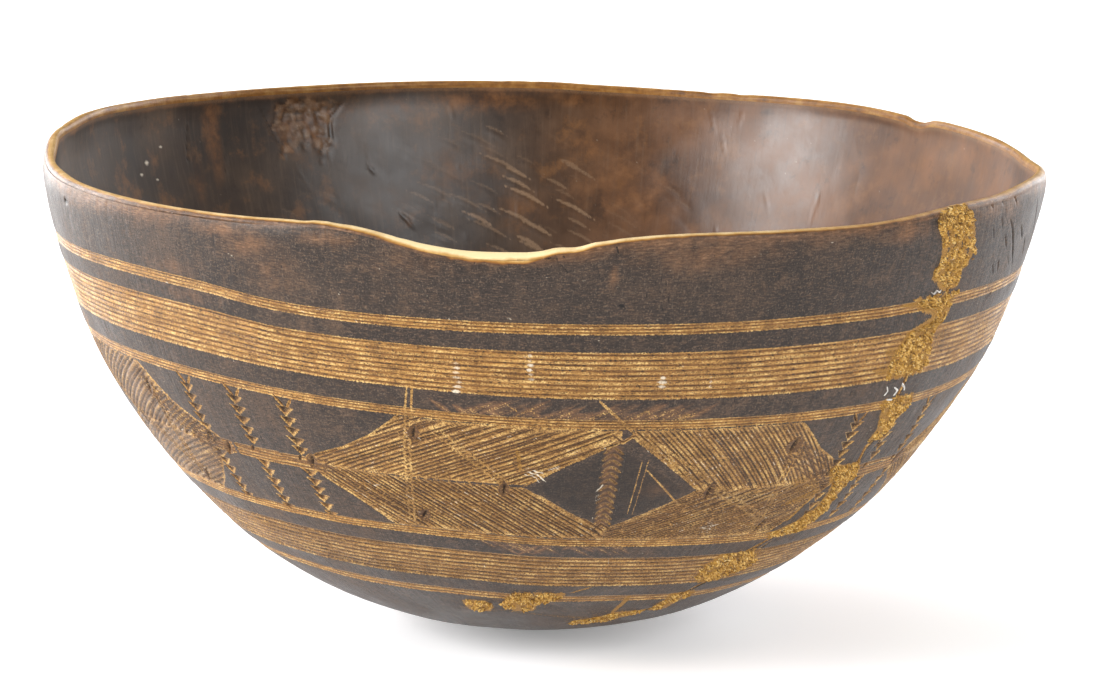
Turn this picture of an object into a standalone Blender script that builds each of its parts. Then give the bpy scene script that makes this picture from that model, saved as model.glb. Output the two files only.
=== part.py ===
"""Carved wooden food bowl, hollowed from one block of wood, with the set filler that stops the crack
in its wall. Metres, +Z up. The foot rests on z = 0, the origin is under the middle of the bowl, and
the cracked front with its carved frieze faces -Y. Angles are in degrees from -Y towards +X."""

import math

import bmesh
import bpy
from mathutils import Vector

MM = 0.001

# Driving dimensions.
RIM_LINE = 0.170            # the level that distances down the wall are counted from
FOOT_RADIUS = 0.022         # the flat that the bowl stands on
LEAN = 0.019                # how far the hand-cut wall leans to +X, per metre of height
FLOOR_THICKNESS = 12.0 * MM
BAND_DEPTH = 0.5 * MM       # of the carved bands that run round the bowl
BAND_SIDE = 0.8             # how many millimetres a wide band takes to reach its depth
GAP = 0.3 * MM              # between a filler and the wood it sits in
FILL_DEPTH = 2.2 * MM       # how deep a filler goes into the wall
FILL_PROUD = 0.5 * MM       # how far it stands out of it
CUT_ABOVE = 6.0 * MM        # how far a recess's cutter reaches out past the wall
SEGMENTS = 96

# The outside outline from the foot to above the rim, as (radius, height) in millimetres.
OUTLINE = [
    (22.0, 0.0), (28.5, 1.2), (43.0, 5.0), (65.5, 12.0), (85.3, 22.0), (105.2, 36.0),
    (124.2, 54.0), (141.3, 76.0), (156.8, 102.0), (168.0, 132.0), (174.7, 160.0), (175.0, 178.0),
]

# The rim's height in millimetres round the bowl: worn, with a dip in front and a chip at the back.
RIM_HEIGHTS = [
    (-180, 170.2), (-160, 171.6), (-140, 172.5), (-122, 174.0), (-105, 174.6), (-90, 172.5),
    (-74, 168.0), (-60, 166.8), (-40, 166.0), (-24, 166.8), (-18, 164.4), (-12, 160.6),
    (-7, 158.7), (-2, 158.7), (2, 160.2), (6, 162.6), (12, 164.0), (24, 163.7), (36, 162.8),
    (50, 164.5), (70, 165.0), (84, 163.0), (97, 161.8), (110, 164.2), (118, 165.3), (122, 165.1),
    (125, 163.9), (129, 165.4), (140, 167.4), (160, 167.9),
]

# How far the bands sit lower than they do in front, in millimetres, as (angle, lower) at three levels
# down the wall. They were cut by eye, so they rise to the left and sink to the right.
BAND_DRIFT = [
    (36.0, [
        (-150, -1.6), (-110, -6.4), (-75, -8.7), (-55, -8.8), (-40, -7.2), (-30, -3.9), (-20, -2.0),
        (0, 0.0), (20, 1.4), (50, 2.3), (75, 3.6), (110, 4.2), (160, 1.6),
    ]),
    (70.0, [
        (-150, -2.0), (-110, -7.2), (-75, -9.4), (-55, -9.3), (-40, -7.6), (-20, -3.6), (0, 0.0),
        (20, 2.4), (40, 4.3), (60, 5.5), (110, 5.0), (160, 1.8),
    ]),
    (126.0, [
        (-150, -2.0), (-110, -7.0), (-75, -8.7), (-50, -8.4), (-30, -6.0), (-10, -2.7), (0, 0.0),
        (10, 1.3), (20, 3.2), (30, 5.2), (40, 7.0), (60, 8.6), (110, 7.4), (160, 2.6),
    ]),
]

# The carved bands in front, as millimetres down the wall: (upper edge, lower edge).
NARROW_BANDS = [(34.2, 37.9), (68.6, 72.0), (123.9, 127.6), (163.2, 167.4)]
WIDE_BANDS = [(44.2, 60.6), (134.8, 153.8)]

# Where the plain wall has its rings, in millimetres down the wall.
FOOT_RINGS = [237.0, 221.0, 204.0, 186.0]
FRIEZE_RINGS = [106.0, 88.0]
HOLLOW_RINGS = [44.0, 66.0, 90.0, 115.0, 140.0, 163.0, 184.0, 203.0, 220.0]
ABOVE_BANDS = 34.0          # the plain zone under the rim ends here

# The wall's thickness in millimetres, by distance down the wall.
THICKNESS = [(0.0, 4.2), (30.0, 4.8), (80.0, 6.2), (140.0, 8.6), (200.0, 11.0), (240.0, 12.0)]

# The rim's section from its outside to its inside: (inwards, below the top) in millimetres.
RIM_SECTION = [(0.0, 1.7), (0.5, 0.5), (1.6, 0.0), (2.8, 0.1), (3.8, 0.7), (4.2, 1.9)]

# Each filler's stations down the crack: (down the wall in millimetres, left angle, right angle).
FILLERS = {
    "crack_filler_rim": [
        (8.4, 47.2, 52.0), (11, 46.8, 53.2), (16, 47.2, 54.0), (21, 47.6, 54.2),
        (26, 47.0, 53.6), (30, 48.0, 52.8), (34, 49.8, 52.6),
    ],
    "crack_filler_upper_bands": [
        (36.2, 44.8, 53.0), (39.4, 46.2, 53.2), (41.8, 49.4, 52.6), (45, 49.0, 52.0),
        (48, 46.0, 50.8), (52, 45.0, 50.9), (58, 44.4, 51.6), (64, 44.6, 51.8),
    ],
    "crack_filler_frieze_top": [
        (73.5, 45.6, 51.6), (78, 46.8, 52.2), (82, 47.2, 51.0), (86, 48.2, 50.8),
        (91, 47.6, 49.4),
    ],
    "crack_filler_frieze_foot": [
        (101, 44.0, 47.6), (105, 44.0, 48.8), (110, 45.4, 48.8), (117, 46.0, 48.8),
        (124, 45.8, 48.8), (128.5, 43.0, 48.8), (132, 39.0, 48.0), (134.5, 39.5, 46.0),
    ],
    "crack_filler_lower_band": [
        (141, 31.0, 39.0), (146, 30.0, 40.5), (151, 29.3, 41.0), (156, 30.4, 38.0),
        (160, 32.5, 36.0),
    ],
    "crack_filler_foot_right": [
        (168, 28.5, 33.0), (172, 28.5, 35.0), (176, 28.5, 33.0), (180, 28.2, 32.0),
        (184, 28.0, 31.6),
    ],
    "crack_filler_foot_front": [
        (183, 19.0, 26.4), (187, 16.0, 25.6), (190.5, 9.5, 21.5), (195, 8.0, 19.0),
    ],
    "crack_filler_foot_middle": [
        (160.5, -4.5, 5.0), (164, -6.0, 5.0), (168, -6.8, 0.8), (172, -6.8, -0.8),
        (176.5, -4.8, -1.6),
    ],
    "crack_filler_foot_left": [(169, -15.0, -11.5), (173, -15.4, -9.8), (178, -14.6, -11.4)],
}


def clear_scene():
    """Removes every object, so that the model starts from nothing."""
    for obj in list(bpy.data.objects):
        bpy.data.objects.remove(obj)


def smooth_through(points, x, period=None):
    """A smooth curve through (x, value) points, read at x. With a period, it closes on itself."""
    if period:
        x = (x - points[0][0]) % period + points[0][0]
        before = (points[-1][0] - period, points[-1][1])
        after = [(p[0] + period, p[1]) for p in points[:2]]
        points = [before, *points, *after]
    last = len(points) - 1
    x = min(max(x, points[0][0]), points[last][0])
    i = max(k for k in range(last) if points[k][0] <= x)
    x0, y0 = points[i]
    x1, y1 = points[i + 1]

    def slope(k):
        low, high = points[max(k - 1, 0)], points[min(k + 1, last)]
        return (high[1] - low[1]) / (high[0] - low[0])

    width = x1 - x0
    t = (x - x0) / width
    start = y0 * (1 + 2 * t) * (1 - t) ** 2 + slope(i) * width * t * (1 - t) ** 2
    end = y1 * (3 - 2 * t) * t ** 2 - slope(i + 1) * width * (1 - t) * t ** 2
    return start + end


def make_wall_table(steps_each=40):
    """The outline as small steps: (distance down the wall, radius, height), from the rim down."""
    distances = [0.0]
    for (r0, z0), (r1, z1) in zip(OUTLINE, OUTLINE[1:]):
        distances.append(distances[-1] + math.hypot(r1 - r0, z1 - z0))
    radii = [(d, r) for d, (r, z) in zip(distances, OUTLINE)]
    heights = [(d, z) for d, (r, z) in zip(distances, OUTLINE)]
    count = steps_each * len(OUTLINE)
    samples = [distances[-1] * k / count for k in range(count + 1)]
    curve = [(smooth_through(radii, d) * MM, smooth_through(heights, d) * MM) for d in samples]
    run = [0.0]
    for (r0, z0), (r1, z1) in zip(curve, curve[1:]):
        run.append(run[-1] + math.hypot(r1 - r0, z1 - z0))
    k = max(i for i, (r, z) in enumerate(curve) if z <= RIM_LINE)
    share = (RIM_LINE - curve[k][1]) / (curve[k + 1][1] - curve[k][1])
    zero = run[k] + share * (run[k + 1] - run[k])
    return [(zero - d, r, z) for d, (r, z) in zip(run, curve)][::-1]


WALL = make_wall_table()


def wall_at(down):
    """Radius, height and outward normal (radial, vertical) at a distance down the wall."""
    down = min(max(down, WALL[0][0]), WALL[-1][0])
    low, high = 0, len(WALL) - 1
    while high - low > 1:
        middle = (low + high) // 2
        if WALL[middle][0] <= down:
            low = middle
        else:
            high = middle
    d0, r0, z0 = WALL[low]
    d1, r1, z1 = WALL[high]
    t = (down - d0) / (d1 - d0)
    length = math.hypot(r1 - r0, z1 - z0)
    normal = ((z0 - z1) / length, (r1 - r0) / length)
    return r0 + (r1 - r0) * t, z0 + (z1 - z0) * t, normal


def place(angle, radius, height):
    """The point at an angle in degrees, on the leaning axis of the bowl."""
    a = math.radians(angle)
    return Vector((radius * math.sin(a) + LEAN * (height - RIM_LINE), -radius * math.cos(a), height))


def on_wall(angle, down, outwards=0.0):
    """The point on the outside of the wall, moved outwards along its normal."""
    radius, height, (n_r, n_z) = wall_at(down)
    return place(angle, radius + n_r * outwards, height + n_z * outwards)


def in_wall(angle, down):
    """The point on the inside of the wall, one thickness in from on_wall."""
    return on_wall(angle, down, -smooth_through(THICKNESS, down / MM) * MM)


def rim_down(angle):
    """How far the rim's top is below the rim line, at an angle."""
    return RIM_LINE - smooth_through(RIM_HEIGHTS, angle, 360.0) * MM


def band_down(angle, front_mm):
    """Where a line that is front_mm down the wall in front runs, at an angle."""
    drifts = [(level, smooth_through(table, angle, 360.0)) for level, table in BAND_DRIFT]
    return (front_mm + smooth_through(drifts, front_mm)) * MM


def plain_middle(angle):
    """The distance down to the middle of the plain zone under the rim, at an angle."""
    return (rim_down(angle) + band_down(angle, ABOVE_BANDS)) / 2


def outside_rings():
    """Functions that give each ring's point at an angle, from the foot's edge up to the rim."""
    rings = [lambda a, d=d: on_wall(a, d * MM) for d in FOOT_RINGS]
    cuts = [(d, 0.0) for d in FRIEZE_RINGS]
    for upper, lower in NARROW_BANDS:
        cuts += [(lower, 0.0), ((upper + lower) / 2, BAND_DEPTH), (upper, 0.0)]
    for upper, lower in WIDE_BANDS:
        cuts += [(lower, 0.0), (lower - BAND_SIDE, BAND_DEPTH)]
        cuts += [(upper + BAND_SIDE, BAND_DEPTH), (upper, 0.0)]
    for d, cut in sorted(cuts, reverse=True):
        rings.append(lambda a, d=d, cut=cut: on_wall(a, band_down(a, d), -cut))
    rings.append(lambda a: on_wall(a, plain_middle(a)))
    return rings


def rim_rings():
    """The rim's rounded section, from the outside over the top to the inside."""
    rings = []
    for inwards, below in RIM_SECTION:
        rings.append(lambda a, i=inwards, b=below: on_wall(a, rim_down(a) + b * MM, -i * MM))
    return rings


def inside_rings():
    """The hollow, from under the rim down to the floor."""
    rings = [lambda a: in_wall(a, plain_middle(a))]
    for d in HOLLOW_RINGS:
        rings.append(lambda a, d=d: in_wall(a, d * MM))
    return rings


def add_ring(bm, point_at):
    return [bm.verts.new(point_at(360.0 * k / SEGMENTS)) for k in range(SEGMENTS)]


def join_rings(bm, lower, upper):
    for k in range(SEGMENTS):
        n = (k + 1) % SEGMENTS
        bm.faces.new((lower[k], lower[n], upper[n], upper[k]))


def cap_ring(bm, ring, centre, facing_up):
    """Closes a ring with a fan of triangles to its centre."""
    middle = bm.verts.new(centre)
    for k in range(SEGMENTS):
        n = (k + 1) % SEGMENTS
        corners = (ring[k], ring[n], middle) if facing_up else (ring[n], ring[k], middle)
        bm.faces.new(corners)


def material(name, colour, roughness):
    mat = bpy.data.materials.new(name)
    mat.use_nodes = True
    shader = mat.node_tree.nodes["Principled BSDF"]
    shader.inputs["Base Color"].default_value = (*colour, 1.0)
    shader.inputs["Roughness"].default_value = roughness
    shader.inputs["Metallic"].default_value = 0.0
    return mat


def add_object(name, bm, mat=None):
    """Turns a bmesh into a named, smooth-shaded object with outward faces."""
    bmesh.ops.recalc_face_normals(bm, faces=bm.faces)
    mesh = bpy.data.meshes.new(name)
    bm.to_mesh(mesh)
    bm.free()
    mesh.shade_smooth()
    mesh.set_sharp_from_angle(angle=math.radians(40.0))
    if mat:
        mesh.materials.append(mat)
    obj = bpy.data.objects.new(name, mesh)
    bpy.context.collection.objects.link(obj)
    return obj


def make_bowl(mat):
    """The carved shell, one closed body: foot, outside wall, rim, hollow and floor."""
    bm = bmesh.new()
    foot = add_ring(bm, lambda a: place(a, FOOT_RADIUS, 0.0))
    cap_ring(bm, foot, place(0.0, 0.0, 0.0), facing_up=False)
    rings = [foot] + [add_ring(bm, f) for f in outside_rings() + rim_rings() + inside_rings()]
    for lower, upper in zip(rings, rings[1:]):
        join_rings(bm, lower, upper)
    cap_ring(bm, rings[-1], place(0.0, 0.0, FLOOR_THICKNESS), facing_up=True)
    return add_object("carved_bowl", bm, mat)


def filler_outline(stations, grow):
    """The filler's corners as (angle, distance down), down its left side and up its right side, with
    every side moved out by grow."""
    corners = [(left, d * MM) for d, left, right in stations]
    corners += [(right, d * MM) for d, left, right in reversed(stations)]
    outline = []
    for k, (angle, down) in enumerate(corners):
        radius = wall_at(down)[0]
        ahead, behind = corners[(k + 1) % len(corners)], corners[k - 1]
        out_1 = Vector((math.radians(angle - behind[0]) * radius, down - behind[1]))
        out_2 = Vector((math.radians(ahead[0] - angle) * radius, ahead[1] - down))
        out_1 = out_1.orthogonal().normalized()
        out_2 = out_2.orthogonal().normalized()
        move = (out_1 + out_2) * grow / (1 + out_1.dot(out_2))
        outline.append((angle + math.degrees(move.x / radius), down + move.y))
    return outline


def filler_body(stations, grow, above, below):
    """A closed run of filler in the wall: its sides grown by grow, from above it to below it."""
    bm = bmesh.new()
    outline = filler_outline(stations, grow)
    rows = []
    for k in range(len(stations)):
        left, right = outline[k], outline[-1 - k]
        across = (left, ((left[0] + right[0]) / 2, (left[1] + right[1]) / 2), right)
        top = [bm.verts.new(on_wall(angle, down, above)) for angle, down in across]
        bottom = [bm.verts.new(on_wall(angle, down, -below)) for angle, down in across]
        rows.append(top + bottom[::-1])
    around = len(rows[0])
    for a, b in zip(rows, rows[1:]):
        for k in range(around):
            n = (k + 1) % around
            bm.faces.new((a[k], a[n], b[n], b[k]))
    bm.faces.new(rows[0])
    bm.faces.new(rows[-1][::-1])
    bmesh.ops.triangulate(bm, faces=bm.faces)
    return bm


def add_fillers(bowl, mat):
    """Each filler, and the recess that it sits in, cut into the bowl with a gap all round."""
    for name, stations in FILLERS.items():
        add_object(name, filler_body(stations, 0.0, FILL_PROUD, FILL_DEPTH), mat)
        cutter = add_object(name + "_recess", filler_body(stations, GAP, CUT_ABOVE, FILL_DEPTH + GAP))
        cutter.hide_render = True
        cutter.display_type = "WIRE"
        cut = bowl.modifiers.new(name, "BOOLEAN")
        cut.operation = "DIFFERENCE"
        cut.solver = "EXACT"
        cut.object = cutter


def centre_on_origin(bowl):
    """Moves everything sideways, so that the origin is under the middle of the bowl's box."""
    xs = [v.co.x for v in bowl.data.vertices]
    ys = [v.co.y for v in bowl.data.vertices]
    shift = Vector((-(min(xs) + max(xs)) / 2, -(min(ys) + max(ys)) / 2, 0.0))
    for obj in bpy.data.objects:
        for v in obj.data.vertices:
            v.co += shift


def main():
    clear_scene()
    wood = material("smoked_wood", (0.085, 0.066, 0.055), 0.45)
    filler = material("sawdust_filler", (0.50, 0.33, 0.10), 0.85)
    bowl = make_bowl(wood)
    add_fillers(bowl, filler)
    centre_on_origin(bowl)


main()
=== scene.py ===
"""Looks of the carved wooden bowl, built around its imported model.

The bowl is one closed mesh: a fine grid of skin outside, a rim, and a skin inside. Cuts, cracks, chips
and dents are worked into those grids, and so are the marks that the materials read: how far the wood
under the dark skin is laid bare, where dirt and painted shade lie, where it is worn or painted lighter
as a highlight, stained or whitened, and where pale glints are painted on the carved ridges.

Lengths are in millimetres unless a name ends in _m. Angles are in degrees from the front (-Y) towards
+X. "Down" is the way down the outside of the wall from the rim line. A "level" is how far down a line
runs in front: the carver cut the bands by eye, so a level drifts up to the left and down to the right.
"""

import math

import bpy
import numpy as np
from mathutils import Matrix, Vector


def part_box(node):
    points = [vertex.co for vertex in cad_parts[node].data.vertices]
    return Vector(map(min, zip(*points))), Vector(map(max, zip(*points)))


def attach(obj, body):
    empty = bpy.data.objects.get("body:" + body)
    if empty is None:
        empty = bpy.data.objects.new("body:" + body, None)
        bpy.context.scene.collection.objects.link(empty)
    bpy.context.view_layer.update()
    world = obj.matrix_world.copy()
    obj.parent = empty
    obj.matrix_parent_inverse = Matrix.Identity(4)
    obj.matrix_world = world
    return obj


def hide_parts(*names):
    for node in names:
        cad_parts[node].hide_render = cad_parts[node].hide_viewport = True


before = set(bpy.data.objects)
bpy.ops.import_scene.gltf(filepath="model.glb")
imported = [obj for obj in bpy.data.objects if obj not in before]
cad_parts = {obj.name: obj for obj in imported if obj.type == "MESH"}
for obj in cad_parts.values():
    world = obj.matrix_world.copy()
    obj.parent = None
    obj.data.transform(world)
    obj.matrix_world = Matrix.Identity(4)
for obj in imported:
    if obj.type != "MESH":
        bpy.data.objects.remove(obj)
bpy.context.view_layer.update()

# ---------------------------------------------------------------- the bowl's shape, as the CAD has it

RIM_LINE = 170.0
LEAN = 0.019                 # how far the wall leans to +X, per millimetre of height
OUTLINE = [                  # (radius, height) from the foot to above the rim
    (22.0, 0.0), (28.5, 1.2), (43.0, 5.0), (65.5, 12.0), (85.3, 22.0), (105.2, 36.0),
    (124.2, 54.0), (141.3, 76.0), (156.8, 102.0), (168.0, 132.0), (174.7, 160.0), (175.0, 178.0),
]
THICKNESS = [(0.0, 4.2), (30.0, 4.8), (80.0, 6.2), (140.0, 8.6), (200.0, 11.0), (240.0, 12.0)]

# The rim's height round the bowl, with the steps that its cracks and chips leave.
RIM_HEIGHTS = [
    (-180, 170.4), (-160, 171.6), (-140, 172.5), (-120, 174.0), (-105, 174.6), (-97, 173.4),
    (-90, 172.5), (-75, 168.0), (-60, 166.8), (-48, 166.3), (-33, 166.3), (-23, 166.8),
    (-19, 165.2), (-15.3, 162.7), (-12.2, 160.6), (-8, 158.8), (-2.5, 158.5), (-0.6, 159.0),
    (1.2, 160.3), (3.2, 160.5), (5.4, 162.3), (10.6, 163.9), (16, 164.2), (27, 163.4),
    (36, 162.8), (44, 163.7), (51, 164.6), (60, 164.5), (70, 165.2), (83, 163.0), (95, 161.5),
    (102, 162.6), (108, 164.0), (118, 165.2), (122.3, 165.3), (124.4, 163.9), (126.4, 164.2),
    (128, 165.6), (138, 167.3), (150, 167.6), (160, 167.8), (173, 169.2),
]

# How far a level has drifted, as (angle, further down) at three levels.
BAND_DRIFT = [
    (36.0, [
        (-150, -1.6), (-110, -6.4), (-75, -8.7), (-55, -8.8), (-40, -7.2), (-30, -3.9), (-20, -2.0),
        (0, 0.0), (20, 1.4), (50, 2.3), (75, 3.6), (110, 4.2), (160, 1.6),
    ]),
    (70.0, [
        (-150, -2.0), (-110, -7.2), (-75, -9.4), (-55, -9.3), (-40, -7.6), (-20, -3.6), (0, 0.0),
        (20, 2.4), (40, 4.3), (60, 5.5), (110, 5.0), (160, 1.8),
    ]),
    (126.0, [
        (-150, -2.0), (-110, -7.0), (-75, -8.7), (-50, -8.4), (-30, -6.0), (-10, -2.7), (0, 0.0),
        (10, 1.3), (20, 3.2), (30, 5.2), (40, 7.0), (60, 8.6), (110, 7.4), (160, 2.6),
    ]),
]
BASE_LEVEL = 206.0           # where the bands' drift has faded out, on the plain base


def smooth(points, x, period=None):
    """A smooth curve through (x, value) points, read at x. With a period, it closes on itself."""
    x = np.asarray(x, float)
    table = np.array(points, float)
    if period:
        x = (x - table[0, 0]) % period + table[0, 0]
        table = np.vstack((table[-1:] - (period, 0.0), table, table[:2] + (period, 0.0)))
    px, py = table.T
    x = np.clip(x, px[0], px[-1])
    last = len(px) - 1
    steps = np.arange(last + 1)
    low, high = np.maximum(steps - 1, 0), np.minimum(steps + 1, last)
    slope = (py[high] - py[low]) / (px[high] - px[low])
    i = np.clip(np.searchsorted(px, x, side="right") - 1, 0, last - 1)
    width = px[i + 1] - px[i]
    t = (x - px[i]) / width
    start = py[i] * (1 + 2 * t) * (1 - t) ** 2 + slope[i] * width * t * (1 - t) ** 2
    end = py[i + 1] * (3 - 2 * t) * t ** 2 - slope[i + 1] * width * (1 - t) * t ** 2
    return start + end


def round_bowl(points, angle):
    """A smooth closed curve through (angle, value) points round the bowl, read at an angle."""
    return smooth(points, angle, 360.0)


def ring_angles(count):
    """Evenly spaced angles right round the bowl, starting at the back."""
    return -180.0 + 360.0 * np.arange(count) / count


def make_wall_table(count=4000):
    """The outline as columns of distance down, radius, height and outward normal (radial, up)."""
    points = np.array(OUTLINE)
    chords = np.hypot(*np.diff(points, axis=0).T)
    along = np.concatenate(([0.0], np.cumsum(chords)))
    samples = np.linspace(0.0, along[-1], count)
    radius = smooth(np.column_stack((along, points[:, 0])), samples)[::-1]
    height = smooth(np.column_stack((along, points[:, 1])), samples)[::-1]
    run = np.concatenate(([0.0], np.cumsum(np.hypot(np.diff(radius), np.diff(height)))))
    run -= np.interp(-RIM_LINE, -height, run)
    slope_r, slope_z = np.gradient(radius, run), np.gradient(height, run)
    length = np.hypot(slope_r, slope_z)
    return run, radius, height, -slope_z / length, slope_r / length


WALL = make_wall_table()


def wall_radius(down):
    return float(np.interp(down, WALL[0], WALL[1]))


def place(angle, down, out):
    """Points in metres at an angle and a distance down, moved out along the wall's normal."""
    radius, height, out_r, out_z = (np.interp(down, WALL[0], column) for column in WALL[1:])
    radius = radius + out_r * out
    height = height + out_z * out
    turn = np.radians(angle)
    x = radius * np.sin(turn) + LEAN * (height - RIM_LINE)
    y = -radius * np.cos(turn)
    return np.stack(np.broadcast_arrays(x, y, height), axis=-1) * 0.001


def centring():
    """The move in metres that puts these points where the model's bowl is."""
    points = place(np.arange(0.0, 360.0, 0.25)[None, :], np.linspace(-5, 60, 66)[:, None], 0.0)
    low, high = (np.array(corner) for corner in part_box("carved_bowl"))
    middle = (points.min(axis=(0, 1)) + points.max(axis=(0, 1))) / 2
    return ((low + high) / 2 - middle) * (1, 1, 0)


CENTRE = centring()


def rim_down(angle):
    return RIM_LINE - round_bowl(RIM_HEIGHTS, angle)


def drift(angle, level):
    """How far down from its own number a level runs at an angle."""
    levels = [row[0] for row in BAND_DRIFT]
    tables = [round_bowl(row[1], angle) for row in BAND_DRIFT]
    high = np.clip((level - levels[0]) / (levels[1] - levels[0]), 0, 1)
    low = np.clip((level - levels[1]) / (levels[2] - levels[1]), 0, 1)
    value = tables[0] + (tables[1] - tables[0]) * high + (tables[2] - tables[1]) * low
    return value * np.clip((BASE_LEVEL - level) / 36.0, 0, 1)


FIRST_BAND = 34.0            # above this level the rows spread out to follow the rim instead


def down_of(angle, level):
    """The distance down of a level at an angle."""
    below = level + drift(angle, level)
    top = rim_down(angle)
    first = FIRST_BAND + drift(angle, FIRST_BAND)
    above = top + level / FIRST_BAND * (first - top)
    return np.where(level < FIRST_BAND, above, below)


# ---------------------------------------------------------------- random hand-made unevenness

rng = np.random.default_rng(41)
COLUMNS = 2560
ANGLES = ring_angles(COLUMNS)


def waver(amplitude, waves=9):
    """A slow periodic waver round the bowl, one value for each column."""
    value = np.zeros(COLUMNS)
    for k in range(1, waves + 1):
        value += rng.normal() / k ** 0.5 * np.sin(np.radians(ANGLES) * k * 2 + rng.uniform(0, 6.28))
    return amplitude * value / 2.2


ALL_ROUND = (-180, 180)


def scattered(count, angles, downs):
    """Random places (angle, down) between two angles and two distances down."""
    for _ in range(count):
        yield rng.uniform(*angles), rng.uniform(*downs)


def soft_noise(down, columns, cell_down, cell_across):
    """Smooth noise from -1 to 1 on a grid of cells, closing on itself round the bowl."""
    cells = max(4, int(round(1000.0 / cell_across)))
    y = (down - down.min()) / cell_down
    rows = int(y.max()) + 3
    lattice = rng.uniform(-1, 1, (rows, cells))
    x = np.arange(columns) / columns * cells
    ix, iy = x.astype(int), y.astype(int)
    fx, fy = x - ix, y - iy
    fx, fy = fx * fx * (3 - 2 * fx), fy * fy * (3 - 2 * fy)
    nx = (ix + 1) % cells
    ix, nx = np.broadcast_to(ix, y.shape), np.broadcast_to(nx, y.shape)
    top = lattice[iy, ix] * (1 - fx) + lattice[iy, nx] * fx
    bottom = lattice[iy + 1, ix] * (1 - fx) + lattice[iy + 1, nx] * fx
    return top * (1 - fy) + bottom * fy


# ---------------------------------------------------------------- a skin that can be cut

# What the materials read: how far inside a cut a place is (below 0 outside), and how much dirt and painted
# shade, rubbed brown, white paint and painted glints, filler paste, and worn pale edge and painted highlight
# it has.
MARKS = ("cut", "dirt_and_shade", "brown", "white", "paste", "worn")
FAR_AWAY = 1e6               # farther than any place on the bowl


def blank_marks(shape):
    """No marks: every mark at 0, and the cut well outside any cut."""
    marks = {name: np.zeros(shape) for name in MARKS}
    marks["cut"] -= 1.0
    return marks


def flatten(points, radius):
    """Points (angle, down) as millimetres across and down on the flattened wall."""
    return [(math.radians(angle) * radius, down) for angle, down in points]


def sides(corners):
    """The sides of a closed outline, as pairs of corners."""
    return zip(corners, corners[1:] + corners[:1])


def from_side(across, down, start, end):
    """How far along a straight side the nearest point to each cell lies, how far away that point is,
    and how long the side is."""
    (x0, y0), (x1, y1) = start, end
    length = max(math.hypot(x1 - x0, y1 - y0), 0.001)
    ux, uy = (x1 - x0) / length, (y1 - y0) / length
    along = np.clip((across - x0) * ux + (down - y0) * uy, 0, length)
    return along, np.hypot(across - x0 - along * ux, down - y0 - along * uy), length


class Skin:
    """A grid of rows down the wall by columns round it, with its relief and its marks."""

    def __init__(self, down, columns):
        self.down = down
        self.columns = columns
        self.step = 360.0 / columns
        self.relief = np.zeros(down.shape)
        self.marks = blank_marks(down.shape)

    def window(self, points, margin):
        """The cells around some (angle, down) points: their index, their places across and down, and the
        wall's radius there. None if the skin has no cells there."""
        angles, downs = zip(*points)
        radius = wall_radius(sum(downs) / len(downs))
        reach = math.degrees(margin / radius)
        first = math.floor((min(angles) - reach + 180.0) / self.step)
        last = math.ceil((max(angles) + reach + 180.0) / self.step)
        columns = np.arange(first, last + 1)
        here = self.down[:, columns % self.columns]
        near = (here.max(axis=1) > min(downs) - margin) & (here.min(axis=1) < max(downs) + margin)
        rows = np.flatnonzero(near)
        if not len(rows):
            return None
        index = np.ix_(np.arange(rows[0], rows[-1] + 1), columns % self.columns)
        across = np.radians(columns * self.step - 180.0)[None, :] * radius
        return index, across, self.down[index], radius

    def dig(self, index, shape, edge, depth, dirt_and_shade=0.6, gather=2.5, fresh=False):
        """Cuts where shape is above 0, deepest where it is 1. edge is the way from edge to middle.
        The dirt mark laid here is dirt and painted shade together: the higher gather is, the closer it keeps
        to the deepest part. A fresh cut takes the place of the older ones that it crosses."""
        inside = np.clip(shape, 0, 1)
        if fresh:
            within = shape > 0.1
            self.relief[index] = np.where(within, 0.0, self.relief[index])
            self.marks["dirt_and_shade"][index] = np.where(within, 0.0, self.marks["dirt_and_shade"][index])
            self.marks["cut"][index] = np.where(within, -1.0, self.marks["cut"][index])
        self.relief[index] = np.minimum(self.relief[index], -depth * inside)
        bare = self.marks["cut"]
        laid = np.where(shape > 0, shape * edge, shape * max(edge, 0.6))
        bare[index] = np.maximum(bare[index], np.clip(laid, -1, 1))
        dirt_and_shade_mask = self.marks["dirt_and_shade"]
        dirt_and_shade_mask[index] = np.maximum(dirt_and_shade_mask[index], dirt_and_shade * inside ** gather)

    def paint(self, mark, index, value):
        field = self.marks[mark]
        field[index] = np.maximum(field[index], value)


def line_shape(window, points, width, taper):
    """1 along the middle of a line through points and 0 at its edges, thinning out to its ends."""
    index, across, down, radius = window
    spots = flatten(points, radius)
    best = np.full(down.shape, FAR_AWAY)
    along = np.zeros(down.shape)
    run = 0.0
    for start, end in zip(spots, spots[1:]):
        here, away, length = from_side(across, down, start, end)
        nearer = away < best
        best = np.where(nearer, away, best)
        along = np.where(nearer, run + here, along)
        run += length
    ends = np.clip(np.minimum(along, run - along) / (taper * run + 0.001), 0.15, 1) ** 0.7
    return 1 - best / (width / 2 * ends), ends


def cut_line(skin, points, width, depth, taper=0.2, dirt_and_shade=0.6, gather=2.0, bare=None, fresh=False):
    """A V-shaped cut along (angle, down) points. A small bare lays the pale wood open in places only."""
    window = skin.window(points, width + 1.0)
    if window:
        shape, ends = line_shape(window, points, width, taper)
        skin.dig(window[0], shape, bare or width / 2, depth * ends, dirt_and_shade, gather, fresh)


def mark_line(skin, mark, points, width, strength, taper=0.2):
    """A stain, scratch or smear of one mark along (angle, down) points, with no cut."""
    window = skin.window(points, width + 1.0)
    if window:
        shape, ends = line_shape(window, points, width, taper)
        skin.paint(mark, window[0], strength * np.clip(shape * 1.6, 0, 1))


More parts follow.
